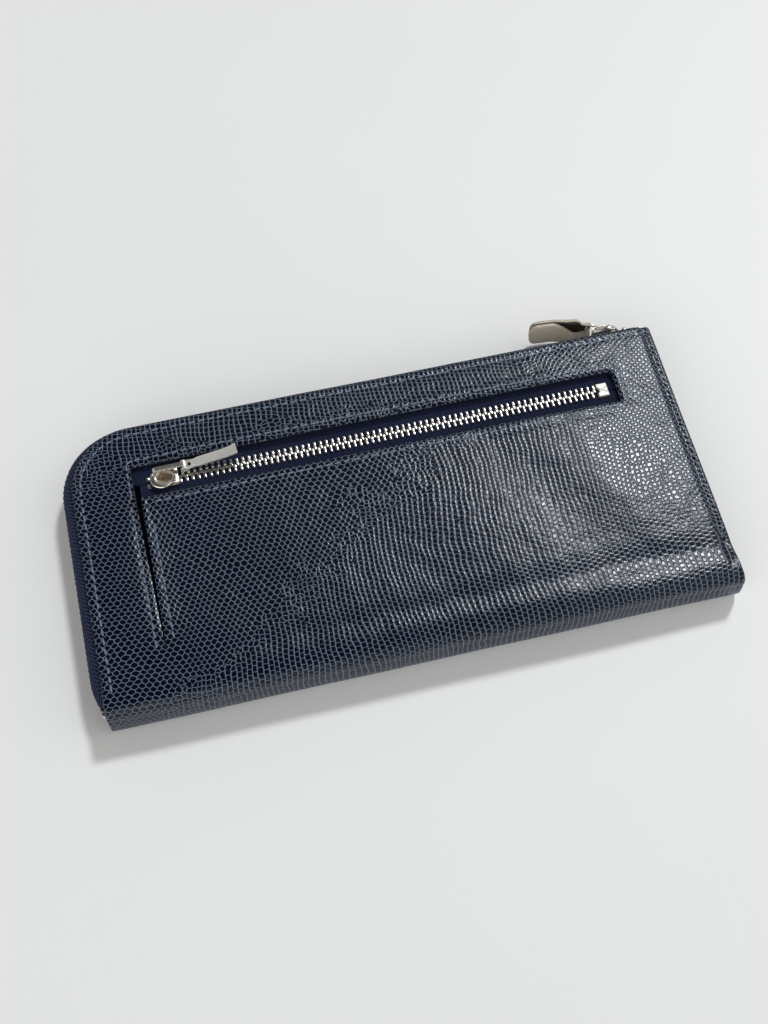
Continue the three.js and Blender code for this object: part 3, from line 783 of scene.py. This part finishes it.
def ring(*parts):
    """Joins lines into a closed loop, with a mark on the points whose next edge is free."""
    points, marks = [], []
    for line, is_free in parts:
        points.append(line[:-1])
        marks += [is_free] * (len(line) - 1)
    return np.vstack(points), marks


CUT = 0.7  # at the window's corners
window_rest = resample([
    window_corner, [WIN_R, WIN_T - CUT], [WIN_R - CUT, WIN_T],
    [SLIT_LEFT_HEAD + CUT, WIN_T], [SLIT_LEFT_HEAD, WIN_T - CUT], slit_left[-1],
], STEP)
slit_end = np.array([slit_left[0], slit_right[-1]])
hole = ring(*seams, (window_rest, True), (slit_left[::-1], True), (slit_end, True))
FINE = 1.5


def outer_sheet(name, *loops):
    materials = [LIZARD, EDGE, BACKING]
    return leather(name, loops, LEATHER_THICK, FINE, materials, "lizard_leather", skin, COVER_ROWS, 0.3)


outer_loop = cover_loop()
outer = outer_sheet("outer_leather", (outer_loop, [True] * len(outer_loop)), hole)
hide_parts("front_panel", "spine", "back_panel")
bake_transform(outer)

flap = outer_sheet("flap_leather", ring(*seams, (window_edge, True), (slit_right, True)))
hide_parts("coin_flap")


BEND_START, BEND_END = -4.0, 6.0  # across the hinge line
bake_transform(flap)


# ---------------------------------------------------------------- stitching
def stitch_template(length, height):
    """One stitch: a thread that dips into the leather at both ends."""
    radius = 0.31
    t = np.linspace(-1, 1, 7)
    rise = height * (np.sqrt(np.clip(1 - (t * 0.98) ** 4, 0, 1)) - 0.75)
    path = np.stack([t * length / 2, np.zeros(7), rise], 1)
    return tube(Mesh(), path, radius * (1 - 0.35 * t ** 4), sides=6, flat=0.7).template()


def stitches(name, lines, surface=skin, pitch=3.0, length=2.25, height=0.42, material=THREAD,
             slot="lizard_leather"):
    lean = 0.10
    template = stitch_template(length, height)
    mesh = Mesh()
    count = 0
    for line in lines:
        points = resample(line, pitch)
        middle = (points[1:] + points[:-1]) / 2
        ahead = middle + 0.2 * unit(points[1:] - points[:-1])
        at = surface(middle[:, 0], middle[:, 1])
        n = skin_normal(middle[:, 0], middle[:, 1], surface)
        t = unit(surface(ahead[:, 0], ahead[:, 1]) - at)
        t = unit(t + lean * np.cross(n, t))
        for i in range(len(middle)):
            place(mesh, template, at[i] + n[i] * 0.02, t[i], np.cross(n[i], t[i]), n[i], uv_shift=count * 0.7)
            count += 1
    return mesh.object(name, [material], slot, 80)


def zip_side_line(back=False):
    """The stitch line inside the zipped sides, from the closed side to the spine, in x and s."""
    line = np.vstack([
        [[RIGHT - 2.0, TOP - STITCH_INSET]],
        arc((CORNER_X, CORNER_Y), CORNER - STITCH_INSET, 90, 180, 24),
        [[LEFT + STITCH_INSET, BOTTOM + 7]],
    ])
    if back:
        line[:, 1] = BACK_TOP_S + (TOP - line[:, 1])
    return line


spine_s = SPINE_TOP_Y - 0.70 * SPINE_LENGTH
line_x, line_y = [WIN_L - SLIT_STITCH, WIN_R + WINDOW_STITCH], WIN_T + WINDOW_STITCH
outer_stitches = stitches("outer_stitches", [
    zip_side_line(),
    [[LEFT + 3, spine_s], [RIGHT - 3, spine_s]],
    [[line_x[0], WIN_B + 1], [line_x[0], line_y], [line_x[1], line_y], [line_x[1], WIN_B - 0.5]],
    [[WIN_L - 3.1, WIN_B - 2], [WIN_L - 2.8, SLIT_B + 1]],
    zip_side_line(back=True),
])
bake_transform(outer_stitches)
flap_stitches = stitches("flap_stitches", [[[WIN_L + 2.6, SLIT_B + 3], [WIN_L + 2.9, WIN_B - 10]],
                                           [[WIN_L + 4, WIN_B - 2.3], [WIN_R, WIN_B - 2.3]]])
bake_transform(flap_stitches)


# ---------------------------------------------------------------- coin zip
def coin_tape(x0, x1, y0, y1, bead):
    """A flat strip of tape with a corded edge along one side, at low y (bead -1) or high y (bead 1)."""
    xs = np.linspace(x0, x1, int((x1 - x0) / 2) + 2)
    ys = np.linspace(y0, y1, 9)
    half = np.full(9, 0.225)
    half[[0, -1]] *= 0.35
    half = half + 0.35 * bell((np.abs(ys - (y1 if bead > 0 else y0)) - 0.9) / 0.7)
    section = np.vstack([np.stack([ys, half], 1), np.stack([ys, -half], 1)[::-1]])
    wave = 0.12 * np.sin(xs * 0.07)[:, None]
    rings = spread(xs[:, None], section[None, :, 0], TAPE_Z + section[None, :, 1] + wave)
    faces = flipped(rod_faces(len(xs), len(section)))
    return Mesh().add(rings, faces, pairs(xs, section[:, 0]))


low, high = box("coin_zip_tape_upper")
TAPE_Z = (low[2] + high[2]) / 2
tape = coin_tape(low[0], high[0], COIN_Y + 0.15, high[1], bead=-1)
tape.rigid("coin_tape_upper", [TAPE], "zip_tape", 50, "front_cover", "coin_zip_tape_upper")
low, high = box("coin_zip_tape_lower")
tape = coin_tape(WIN_L + 0.4, high[0], low[1], COIN_Y - 0.15, bead=1)
lower_tape = tape.object("coin_tape_lower", [TAPE], "zip_tape", 50)
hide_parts("coin_zip_tape_lower")
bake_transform(lower_tape)

TOOTH_PITCH = 1.93
# One tooth: y runs from the tape to the other row, and the row's middle line is at y = 0
tooth = Mesh()
place(tooth, block_template((0.86, 1.5, 2.2), 0.16), (0, -1.6, 0))
place(tooth, block_template((0.98, 1.35, 1.75), 0.2), (0, -0.3, 0))
TOOTH = tooth.template()


def coin_row(side, x0, x1, shift):
    mesh = Mesh()
    for i, x in enumerate(np.arange(x0 + shift * TOOTH_PITCH, x1, TOOTH_PITCH)):
        lean = 0.03 * math.sin(i * 2.3)
        place(mesh, TOOTH, (x, COIN_Y, TAPE_Z), (-side, -lean * side, 0), (0, -side, 0), uv_shift=i)
    return mesh


row_start = box("coin_zip_teeth_upper")[0][0] + 2.2
row_end = box("coin_zip_end_stop")[0][0] - 0.4
for side, part, shift in ((1, "upper", 0.0), (-1, "lower", 0.5)):
    mesh = coin_row(side, row_start, row_end, shift)
    stop_x = box(f"coin_zip_top_stop_{part}")[1][0] + 1.1
    place(mesh, block_template((1.1, 1.5, 1.8), 0.35), (stop_x, COIN_Y + side * 1.35, TAPE_Z - 0.2))
    row = mesh.object(f"coin_teeth_{part}", [TEETH], "nickel", 35)
    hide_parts(f"coin_zip_teeth_{part}", f"coin_zip_top_stop_{part}")
    if side > 0:
        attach(row, "front_cover")
    else:
        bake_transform(row)

stop_low, stop_high = box("coin_zip_end_stop")
middle = (stop_low + stop_high) / 2
end_stop = Mesh()
end_x, end_y = 1.85, 2.5  # half its size
notch = [[-end_x, -end_y], [end_x, -end_y], [end_x, end_y], [-end_x, end_y],
         [-end_x, 0.9], [0.6 - end_x, 0.45], [0.6 - end_x, -0.45], [-end_x, -0.9]]
plate(end_stop, resample(notch, 0.35, closed=True) + middle[:2], TAPE_Z - 1.3, TAPE_Z + 1.35, 0.3)
for turn in (1, -1):  # two crossing bars are stamped on it
    bar, across = [0.82, 0.57 * turn, 0], [-0.57 * turn, 0.82, 0]
    at = [*middle[:2], TAPE_Z + 1.2]
    place(end_stop, block_template((3.6, 0.55, 0.5), 0.2), at, bar, across, np.cross(bar, across))
end_stop.rigid("coin_end_stop", [STAMPED], "nickel", 15, "front_cover", "coin_zip_end_stop")


# ---------------------------------------------------------------- sliders
def slider_outline():
    """Outline of a slider's plate: a round nose, a waist, and square shoulders at the tail."""
    side = np.vstack([
        arc((-0.9, 0), 3.75, 180, 62, 16),
        [[1.6, 2.9], [2.6, 2.55], [3.6, 2.65], [4.0, 2.95], [4.6, 2.55], [4.6, 0]],
    ])
    return resample(np.vstack([side, side[::-1][1:-1] * [1, -1]])[::-1], 0.4, closed=True)


def slider_mesh(eye_x, bridge_y=0.0, eye_z=3.25):
    """A slider: two plates, rims, a blade, and a bridge with an eye for the pull. The teeth's middle is at
    z = 0."""
    mesh = Mesh()
    outline = slider_outline()
    inward = left_of(frames(outline, closed=True))
    # the upper plate has a drop-shaped hollow behind a broad rounded rim
    middle = np.array([-0.7, 0.0])
    angle = np.arctan2(outline[:, 1], outline[:, 0] - middle[0])
    reach = 1.7 + 1.5 * ((1 + np.cos(angle)) / 2) ** 3
    hollow = np.stack([np.cos(angle), 0.92 * np.sin(angle)], 1) * reach[:, None]
    rings = [(outline + inward * inset, z) for inset, z in ((0, 1.35), (0, 2.0), (0.12, 2.25), (0.4, 2.42))]
    rings += [(middle + hollow * share, z) for share, z in ((1.22, 2.55), (1.06, 2.4), (1, 2.1), (0.97, 1.5))]
    n = len(outline)
    verts = np.vstack([np.column_stack([line, np.full(n, z)]) for line, z in rings])
    mesh.add(verts, grid_faces(len(rings), n, closed=True) + [tuple(range(n))[::-1]])
    # the hollow's floor takes the second material, dark brown: painted shade in the recess
    last = verts[-n:]
    last = np.vstack([last, last * [0.8, 0.8, 1] - [0.1, 0, 0.12]])
    mesh.add(last, grid_faces(2, n, closed=True) + [tuple(range(n, 2 * n))], mat=1)
    plate(mesh, outline, -2.35, -1.35, 0.32)
    # the rims that hold the rows in
    for side in (1, -1):
        line = resample(np.array([[-3.1, 2.5], [-1.0, 3.25], [1.6, 2.75], [4.4, 2.75]]) * [1, side], 0.5)
        for z in (1.15, -1.15):
            tube(mesh, np.column_stack([line, np.full(len(line), z)]), 0.42, 8)
    place(mesh, block_template((2.2, 0.9, 2.9), 0.3), (-2.9, 0, 0))
    # the bridge, a strip from the nose, curled round the pull's bar at its end
    line = resample(np.vstack([
        [[-3.5, 1.9], [-3.35, 3.0], [-2.9, 3.9], [-2.0, 4.35], [eye_x - 0.9, eye_z + 1.22]],
        arc((eye_x, eye_z), 1.2, 80, -120, 12),
    ]), 0.3)
    path = np.column_stack([line[:, 0], np.full(len(line), bridge_y), line[:, 1]])
    quarter = [(0.85, 0.1), (0.7, 0.3), (-0.7, 0.3), (-0.85, 0.1)]
    sweep(mesh, path, np.tile([0.0, 1.0, 0.0], (len(path), 1)), quarter + [(-a, -b) for a, b in quarter])
    return mesh


def turned(mesh, matrix):
    """The mesh's vertices moved by a 4x4 in mm."""
    m = np.array(matrix)
    mesh.v = [v @ m[:3, :3].T + m[:3, 3] for v in mesh.v]
    return mesh


SLIDER_NOSE = 4.5  # from the middle of a slider to its nose
# the second material paints shade on the floor of the slider's hollow
SLIDER_METAL = [NICKEL, HOLLOW_SHADE]
coin_eye = joint_position("coin_pull_swing")
slider_x = box("coin_slider_body")[1][0] - SLIDER_NOSE
coin_slider = slider_mesh(coin_eye[0] - slider_x, coin_eye[1] - COIN_Y, coin_eye[2] - TAPE_Z)
turned(coin_slider, Matrix.Translation((slider_x, COIN_Y, TAPE_Z)))
coin_slider.rigid("coin_slider", SLIDER_METAL, "nickel", 38, "coin_slider",
                  "coin_slider_body", "coin_slider_bridge")


def pull_bar():
    """The metal pull: two small ears round the bridge's eye, then a bar that widens to a flared end."""
    start, end, half = 2.3, 17.3, 1.75
    mesh = Mesh()
    ear = arc((0, 0), 1.05, 0, 360, 16)[:-1]
    for side in (1, -1):
        plate(mesh, ear, -0.35, 0.35, 0.15, lambda v: v[:, [0, 2, 1]] + [0, side * 1.35, 0])
        tube(mesh, [(0.4, side * 1.35, 0), (1.6, side * 1.3, 0.05), (3.0, side * 0.95, 0.1)], 0.5, 8)
    tube(mesh, [(0, -1.5, 0), (0, 1.5, 0)], 0.42, 10)
    t = np.linspace(0, 1, 26)
    width = half * (0.72 + 0.28 * smooth(t * 5)) + 0.12 * smooth((t - 0.8) * 5)
    thick = 0.52 + 0.16 * smooth((t - 0.86) * 7)
    z = 0.25 * t ** 2 + 0.55 * smooth((t - 0.7) / 0.3) ** 1.5
    a = np.radians(np.linspace(0, 360, 20, endpoint=False))
    square_cos, square_sin = (np.sign(v) * np.abs(v) ** 0.35 for v in (np.cos(a), np.sin(a)))
    x = start + (end - start) * t
    rings = spread(x[:, None], width[:, None] * square_cos, z[:, None] + thick[:, None] * square_sin)
    return mesh.add(rings, rod_faces(26, 20))


coin_pull = pull_bar()
tilt = Matrix.Translation(coin_eye)
for degrees, axis in ((3.5, "Z"), (-5, "Y"), (-9, "X")):
    tilt = tilt @ Matrix.Rotation(math.radians(degrees), 4, axis)
turned(coin_pull, tilt)
coin_pull.rigid("coin_pull", [SATIN], "nickel", 38, "coin_pull", "coin_slider_pull")

# Main slider: it lies on its side at the end of the long zipped side
main_low, main_high = box("main_slider_body")
main_x = main_low[0] + SLIDER_NOSE
ring_eye = joint_position("main_ring_swing")
tab_eye = joint_position("main_tab_swing")
main_y = (main_low[1] + main_high[1]) / 2
lie = Matrix(((-1, 0, 0, main_x), (0, 0, 1, main_y), (0, 1, 0, ZIP_Z), (0, 0, 0, 1)))
main_slider = turned(slider_mesh(main_x - ring_eye[0]), lie)
main_slider.rigid("main_slider", SLIDER_METAL, "nickel", 38, "main_slider",
                  "main_slider_body", "main_slider_bridge")

# the link is a flat oval of wire from the slider's eye to the leather's loop
link = tab_eye - ring_eye
link_length = np.linalg.norm(link)
angle = np.linspace(0, 2 * math.pi, 36, endpoint=False)[:, None]
forward = link_length / 2 + link_length / 2 * np.sign(np.cos(angle)) * np.abs(np.cos(angle)) ** 0.5
upward = 3.2 * np.sign(np.sin(angle)) * np.abs(np.sin(angle)) ** 0.5
ring_path = ring_eye + link / link_length * forward + np.array([0, 0, 1.0]) * upward
ring_mesh = tube(Mesh(), ring_path, 0.47, 10, closed=True)
ring_mesh.rigid("main_ring", [NICKEL], "nickel", 60, "main_ring", "main_pull_ring")


def leather_tab():
    """The pull's leather: one strip folded round the link, its two layers glued, with a painted rim."""
    tab_low, tab_high = box("main_pull_tab")
    direction = np.array([tab_low[0], tab_high[1] - 1.2]) - tab_eye[:2]
    reach = np.linalg.norm(direction) - 0.4
    u = np.append(unit(direction), 0)
    side = np.array([u[1], -u[0], 0]) * (1 if u[0] < 0 else -1)
    up = np.array([0, 0, 1.0])
    half_wide = (tab_high[2] - tab_low[2]) / 2
    rise = (tab_low[2] + tab_high[2]) / 2 - tab_eye[2]
    end_radius = 2.4
    mesh = Mesh()

    def bow(a):
        return 0.9 * np.sin(np.clip(a / reach, 0, 1) * math.pi * 0.9) ** 2

    def shift(a):
        return rise * smooth((a - 0.5) / 4)

    def rounded(a):
        """Half the width by the round end."""
        past = a - reach + end_radius
        return np.sqrt(np.clip(end_radius ** 2 - past ** 2, 0, None)) + half_wide - end_radius

    a = np.linspace(0, 1, 40) * (reach + 1.4) - 1.4
    b = np.linspace(-1, 1, 15)
    gap = 0.68 + 0.5 * bell((a - 4.0) / 2.4)
    width = half_wide * (0.55 + 0.45 * smooth((a - 0.9) / 2.4))
    width = np.where(a > reach - end_radius, rounded(a), width)
    for layer in (1, -1):
        # the far layer lies lower by the link, so the near one's inside shows over it, painted dark as the shade
        # in the gap between the layers
        top = width * (1 - 0.95 * smooth((0.62 * reach - a) / (0.5 * reach))) if layer < 0 else width
        centre = tab_eye + u * a[:, None] + side * (layer * gap + bow(a))[:, None] + up * shift(a)[:, None]
        across = (top - width)[:, None] / 2 + (top + width)[:, None] / 2 * b[None]
        for outside, off in ((True, 0.55 + (1 - np.abs(b) ** 8) * 0.12), (False, np.full(15, -0.5))):
            rows = centre[:, None] + up * across[..., None] + side * (layer * off)[None, :, None]
            faces = grid_faces(40, 15)
            if (layer > 0) == outside:
                faces = flipped(faces)
            # material 2 on the near layer's inside face is painted shade
            mesh.add(rows, faces, spread(a[:, None], across), 2 if layer > 0 and not outside else 0)
        # painted edge all round
        rims = centre[:, None] + up * np.stack([-width, top], 1)[..., None]
        line = np.vstack([rims[:, 1], rims[::-1, 0]])
        outer_edge = line + side * layer * 0.55
        inner_edge = line + side * layer * -0.5
        mid = (outer_edge + inner_edge) / 2 + unit(line - line.mean(0)) * 0.22
        faces = grid_faces(3, len(line), closed=True)
        if layer < 0:
            faces = flipped(faces)
        mesh.add([outer_edge, mid, inner_edge], faces, edge_uv(lengths(line), 3), 1)
    # a dark line shows where the two layers meet
    a = np.linspace(reach * 0.12, reach - 0.5, 24)
    half = rounded(np.maximum(a, reach - end_radius))
    for end in (1, -1):
        rim_z = shift(a) + end * (half - 0.1)
        path = tab_eye + u * a[:, None] + side * bow(a)[:, None] + up * rim_z[:, None]
        tube(mesh, path, 0.3, 8, mat=2)
    # the loop round the link
    a = np.radians(np.linspace(90, 270, 13))
    b = np.linspace(-1, 1, 5) * half_wide * 0.55
    for radius in (1.45, 0.62):
        line = tab_eye + u * (radius * np.cos(a))[:, None] + side * (radius * np.sin(a))[:, None]
        faces = grid_faces(13, 5)
        if radius > 1:
            faces = flipped(faces)
        mesh.add(line[:, None] + up * b[None, :, None], faces, pairs(a * 1.3, b))
    return mesh


# the third material is the dark glue line and the painted shade inside the strap
STRAP = [PULL, PULL_EDGE, GLUE_LINE_AND_SHADE]
leather_tab().rigid("main_pull_strap", STRAP, "pull_leather", 50, "main_tab", "main_pull_tab")


# ---------------------------------------------------------------- main zip
def zip_path(out, pitch, right):
    """Points and outward directions of the L-shaped zip, out mm outside the covers' edge, from x = right."""
    tail_radius, tail_y, tail = 24.0, -33.0, 24.0  # it turns in by the spine, over tail degrees
    tail_x = LEFT - ZIP_OUT + tail_radius
    points = resample(np.vstack([
        [[right, TOP + out]],
        arc((CORNER_X, CORNER_Y), CORNER + out, 90, 180, 40),
        arc((tail_x, tail_y), tail_radius + out - ZIP_OUT, 180, 180 + tail, 10),
    ]), pitch)
    outward = -left_of(frames(points))
    return points, outward * np.sign(outward[0, 1])


def short_side(outward):
    """1 down the short zipped side, 0 along the long one."""
    return smooth((-outward[..., 0] - 0.2) / 0.7)


def main_tape(side):
    """One tape, from its seam under the cover, bulging out and in to the teeth."""
    seam_z = 6.35
    line = resample([[-6, seam_z], [-3.2, seam_z], [-0.6, 6.3], [1.0, 5.9], [2.1, 5.0], [2.75, 3.9],
                     [3.05, 2.8], [ZIP_OUT, 1.9], [ZIP_OUT, 1.2]], 0.55)
    half = np.full((len(line), 1), 0.24)
    half[-3:, 0] = (0.45, 0.5, 0.35)  # the cord the teeth hold on to
    normal = -left_of(frames(line))
    section = np.vstack([line + normal * half, (line - normal * half)[::-1]])
    points, outward = zip_path(0.0, 1.2, 94.5)
    out, up = section[None, :, 0], section[None, :, 1]
    out = np.where(out > 0, out * (0.75 + 0.25 * short_side(outward))[:, None], out)
    seam = points - outward * 2.0
    under = cover_z(seam[:, 0], seam[:, 1]) - 1.45 - ZIP_Z if side > 0 else np.full(len(points), seam_z)
    height = ZIP_Z + side * up * (1 + (under / seam_z - 1)[:, None] * smooth((up - 2) / 3))
    rings = np.concatenate([points[:, None] + out[:, :, None] * outward[:, None], height[..., None]], -1)
    across = lengths(line)
    faces = rod_faces(len(points), len(section))
    return Mesh().add(rings, flipped(faces) if side < 0 else faces,
                      pairs(lengths(points), np.concatenate([across, across[::-1]])))


def main_row(side):
    mesh = Mesh()
    points, outward = zip_path(ZIP_OUT, 0.3, 90.0)
    run = lengths(points)
    start = 0.5 + (TOOTH_PITCH / 2 if side < 0 else 0)
    for i, s in enumerate(np.arange(start, run[-1] - 0.5, TOOTH_PITCH)):
        at, out = (np.array([np.interp(s, run, line[:, k]) for k in (0, 1)]) for line in (points, outward))
        out = np.append(unit(out), 0)
        across = np.array([0, 0, -side * 1.0])
        at = at - out[:2] * (0.45 + 0.4 * (1 - short_side(out)))
        place(mesh, TOOTH, np.append(at, ZIP_Z), np.cross(across, out), across, out, uv_shift=i)
    return mesh


for side, part, body in ((1, "front", "front_cover"), (-1, "back", "back_cover")):
    main_tape(side).rigid(f"main_tape_{part}", [WIDE_TAPE], "zip_tape", 50, body, f"main_zip_tape_{part}")
    mesh = main_row(side)
    low, high = box(f"main_zip_top_stop_{part}")
    place(mesh, block_template((1.6, 2.4, 2.2), 0.4), (low + high) / 2 + [0.3, 0, 0])
    nodes = f"main_zip_teeth_{part}", f"main_zip_top_stop_{part}"
    mesh.rigid(f"main_teeth_{part}", [TEETH], "nickel", 35, body, *nodes)
low, high = box("main_zip_bottom_stop")
end_out = np.append(zip_path(ZIP_OUT, 1.2, 94.0)[1][-1], 0)
up = np.array([0, 0, 1.0])
stop_block = block_template((1.9, 4.9, 2.5), 0.45)
stop_mesh = place(Mesh(), stop_block, (low + high) / 2, np.cross(up, end_out), up, end_out)
stop_mesh.rigid("main_bottom_stop", [NICKEL], "nickel", 40, "back_cover", "main_zip_bottom_stop")


# ---------------------------------------------------------------- inside
def inner_outline(low, high, corner):
    """Outline of a sheet inside the covers. corner: it follows the covers' round corner."""
    small = 1.5
    if corner:
        radius = LEFT + CORNER - low[0]
        left_top = arc((CORNER_X, high[1] - radius), radius, 90, 180, 14)
    else:
        left_top = arc((low[0] + small, high[1] - small), small, 90, 180, 4)
    right_top = arc((high[0] - 1, high[1] - 1), 1, 0, 90, 3)
    return resample(np.vstack([[[high[0], low[1]]], right_top, left_top, [low[:2]]]), 1.6, closed=True)


def inner_sheet(name, node, body, materials, slot, height, thick=0.5, corner=True, up=1, pitch=5.0):
    """A pocket panel or lining in the place of its CAD sheet. height(x, y) is added to its z.
    up is 1 when its shown side is up, -1 when it is down."""
    low, high = box(node)
    loop = inner_outline(low, high, corner)
    middle = (low[2] + high[2]) / 2
    if up < 0:
        loop = loop[::-1] * [1, -1]

    def surface(x, s):
        y = np.asarray(s, float) * up
        return np.stack([np.asarray(x, float), y, middle + up * thick / 2 + height(x, y)], -1)

    loops = [(loop, [True] * len(loop))]
    made = leather(name, loops, thick, pitch, materials, slot, surface, (1.0, 2.2), 0.12)
    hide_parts(node)
    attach(made, body)
    return surface


def ripple(x, y):
    return 0.05 * np.sin(x * 0.09 + 1) * np.sin(y * 0.12)


def climb(x, y):
    """How far the front's lining climbs to the cover's seam around its rim."""
    zip_side, _ = edge_distance(x, y)
    return smooth((13 - zip_side) / 8) * 4.6 + ripple(x, y)


CLOTH = [LINING] * 3
POCKET = [GREIGE, PULL_EDGE, GREIGE]
inner_sheet("back_lining_cloth", "back_lining", "back_cover", CLOTH, "lining",
            lambda x, y: ripple(x, y) * 0.6)
inner_sheet("front_lining_cloth", "front_lining", "front_cover", CLOTH, "lining", climb, up=-1, pitch=4.0)
inner_sheet("coin_wall_cloth", "coin_pocket_wall", "front_cover", [DARK_LINING] * 3, "lining_dark",
            lambda x, y: climb(x, y) * 0.85 + 0.06 * np.sin(x * 0.2), thick=0.35, pitch=4.0)




def card_pocket(name, body, up=1):
    return inner_sheet(f"{name}_leather", name, body, POCKET, "smooth_leather", ripple, corner=False, up=up)


surfaces = [card_pocket(f"card_pocket_{number}", "back_cover") for number in (1, 2, 3)]
front_surface = card_pocket("front_card_pocket", "front_cover", up=-1)


def pocket_stitches(name, line, surface, body):
    piece = stitches(name, [line], surface, 2.6, 1.9, 0.2, TAN_THREAD, "smooth_leather")
    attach(piece, body)


# each pocket's mouth is sewn, and a seam down the middle parts the cards
for number, surface in enumerate(surfaces, 1):
    low, high = box(f"card_pocket_{number}")
    mouth = [[low[0] + 2, high[1] - 2], [high[0] - 2, high[1] - 2]]
    pocket_stitches(f"pocket_stitches_{number}", mouth, surface, "back_cover")
middle = (low[0] + high[0]) / 2
parting = [[middle, low[1] + 2], [middle, high[1] - 3]]
pocket_stitches("pocket_stitches_4", parting, surfaces[-1], "back_cover")
low, high = box("front_card_pocket")
mouth = [[low[0] + 2, 2 - high[1]], [high[0] - 2, 2 - high[1]]]  # this sheet is laid out with y turned round
pocket_stitches("pocket_stitches_front", mouth, front_surface, "front_cover")


def two_faces(points, offset, uv):
    """A thin sheet from a grid of points, with a second face moved by offset."""
    faces = grid_faces(*points.shape[:2])
    return Mesh().add(points, faces, uv).add(points + offset, flipped(faces), uv)


side_low, side_high = box("side_gusset_back_leaf")
gusset_right = side_high[0]
ys = np.linspace(side_low[1], side_high[1], 30)
depth = np.interp(ys, [ys[0], ys[-1]], [4.0, 17.0])
z_bottom, z_top = side_low[2] + 0.1, box("side_gusset_front_leaf")[1][2]
fold = np.array([[0.0, z_bottom], [0.02, z_bottom + 1.4], [0.25, 3.7], [0.7, 5.0], [0.97, 5.75],
                 [1.0, 6.1], [0.97, 6.5], [0.7, 7.1], [0.25, 9.2], [0.02, z_top - 2.0], [0.0, z_top]])
lower = z_top - (cover_z(gusset_right, ys) - 1.5)
t = np.linspace(0, 1, 27)
fold = np.stack([np.interp(t, np.linspace(0, 1, len(fold)), fold[:, k]) for k in (0, 1)], 1)
fold_z = fold[None, :, 1] - lower[:, None] * smooth((fold[None, :, 1] - 7) / (z_top - 7))
centre = spread(gusset_right - depth[:, None] * fold[None, :, 0], ys[:, None], fold_z)
normal = unit(np.cross(np.gradient(centre, axis=0), np.gradient(centre, axis=1)))
gusset = two_faces(centre + normal * 0.2, normal * -0.4, pairs(ys, t * 26))
side_gusset = gusset.object("side_gusset", [GREIGE], "smooth_leather", 50)
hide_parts("side_gusset_back_leaf", "side_gusset_front_leaf")
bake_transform(side_gusset)

# the coin pocket's own gusset, folded in behind the slit
ys = np.linspace(SLIT_B + 1, WIN_B - 1, 26)
reach_s = (np.array([WIN_L, 0]) - HINGE) @ ACROSS + ys * ACROSS[1]
share = smooth((reach_s - BEND_START) / (BEND_END - BEND_START))
z_low = 11.6
t = np.linspace(0, 1, 21)
x_fold = WIN_L - 0.9 + 10.5 * np.sin(t * math.pi) ** 0.8 + 1.6 * t
z_fold = z_low + (T - 1.6 - z_low) * (t[None] * share[:, None])
centre = spread(x_fold[None], ys[:, None], z_fold)
gusset = two_faces(centre, [0, 0, -0.3], pairs(ys, t * 20))
coin_gusset = gusset.object("coin_gusset", [BACKING], "smooth_leather", 50)
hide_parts("coin_pocket_gusset")
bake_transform(coin_gusset)


# ---------------------------------------------------------------- floor, light and camera
def floor():
    size = 20.0  # m
    mesh = bpy.data.meshes.new("floor")
    corners = [(-size, -size, 0), (size, -size, 0), (size, size, 0), (-size, size, 0)]
    mesh.from_pydata(corners, [], [(0, 1, 2, 3)])
    made = bpy.data.objects.new("floor", mesh)
    bpy.context.scene.collection.objects.link(made)
    n = Nodes("floor")
    cloud = n.noise(n.position(), 9.0, 3.0, 0.6)
    mesh.materials.append(n.finish(n.mix(cloud, (0.80, 0.80, 0.795, 1), (0.83, 0.83, 0.825, 1)), 0.5))


floor()


def soft_light(name, source, power, spread, color):
    data = bpy.data.lights.new(name, "SUN")
    data.angle = math.radians(spread)
    data.energy = power
    data.color = color
    made = bpy.data.objects.new(name, data)
    made.rotation_euler = Vector(source).to_track_quat("Z", "Y").to_euler()
    bpy.context.scene.collection.objects.link(made)


soft_light("key", (0.40, 0.465, 0.795), 1.6, 9, (0.95, 0.98, 1.0))
soft_light("front", (-0.50, -0.70, 0.50), 1.3, 70, (1.0, 0.99, 0.97))
soft_light("side", (0.75, -0.25, 0.60), 0.85, 70, (1.0, 0.99, 0.97))
world = bpy.data.worlds.new("studio")
world.use_nodes = True
sky = world.node_tree
background = sky.nodes["Background"]
background.inputs[0].default_value = (0.97, 0.985, 1.0, 1)
direction = sky.nodes.new("ShaderNodeTexCoord")
parts = sky.nodes.new("ShaderNodeSeparateXYZ")
sky.links.new(direction.outputs["Generated"], parts.inputs[0])
level = sky.nodes.new("ShaderNodeMapRange")  # bright walls and a darker ceiling
level.interpolation_type = "SMOOTHSTEP"
sky.links.new(parts.outputs[2], level.inputs["Value"])
for socket, value in (("From Min", 0.3), ("From Max", 0.85), ("To Min", 0.46), ("To Max", 0.05)):
    level.inputs[socket].default_value = value
sky.links.new(level.outputs[0], background.inputs[1])
bpy.context.scene.world = world
bpy.context.scene.view_settings.view_transform = "Standard"

camera = bpy.data.objects.new("camera", bpy.data.cameras.new("camera"))
bpy.context.scene.collection.objects.link(camera)
at = Vector((-51.3, -198.5, 399.3)) * MM
aim = Vector((-3.44, 3.12, 8.0)) * MM
camera.location = at
camera.rotation_euler = (aim - at).to_track_quat("-Z", "Y").to_euler()
camera.data.sensor_width = 36
camera.data.lens = 49.37
camera.data.clip_start, camera.data.clip_end = 0.01, 20
bpy.context.scene.camera = camera
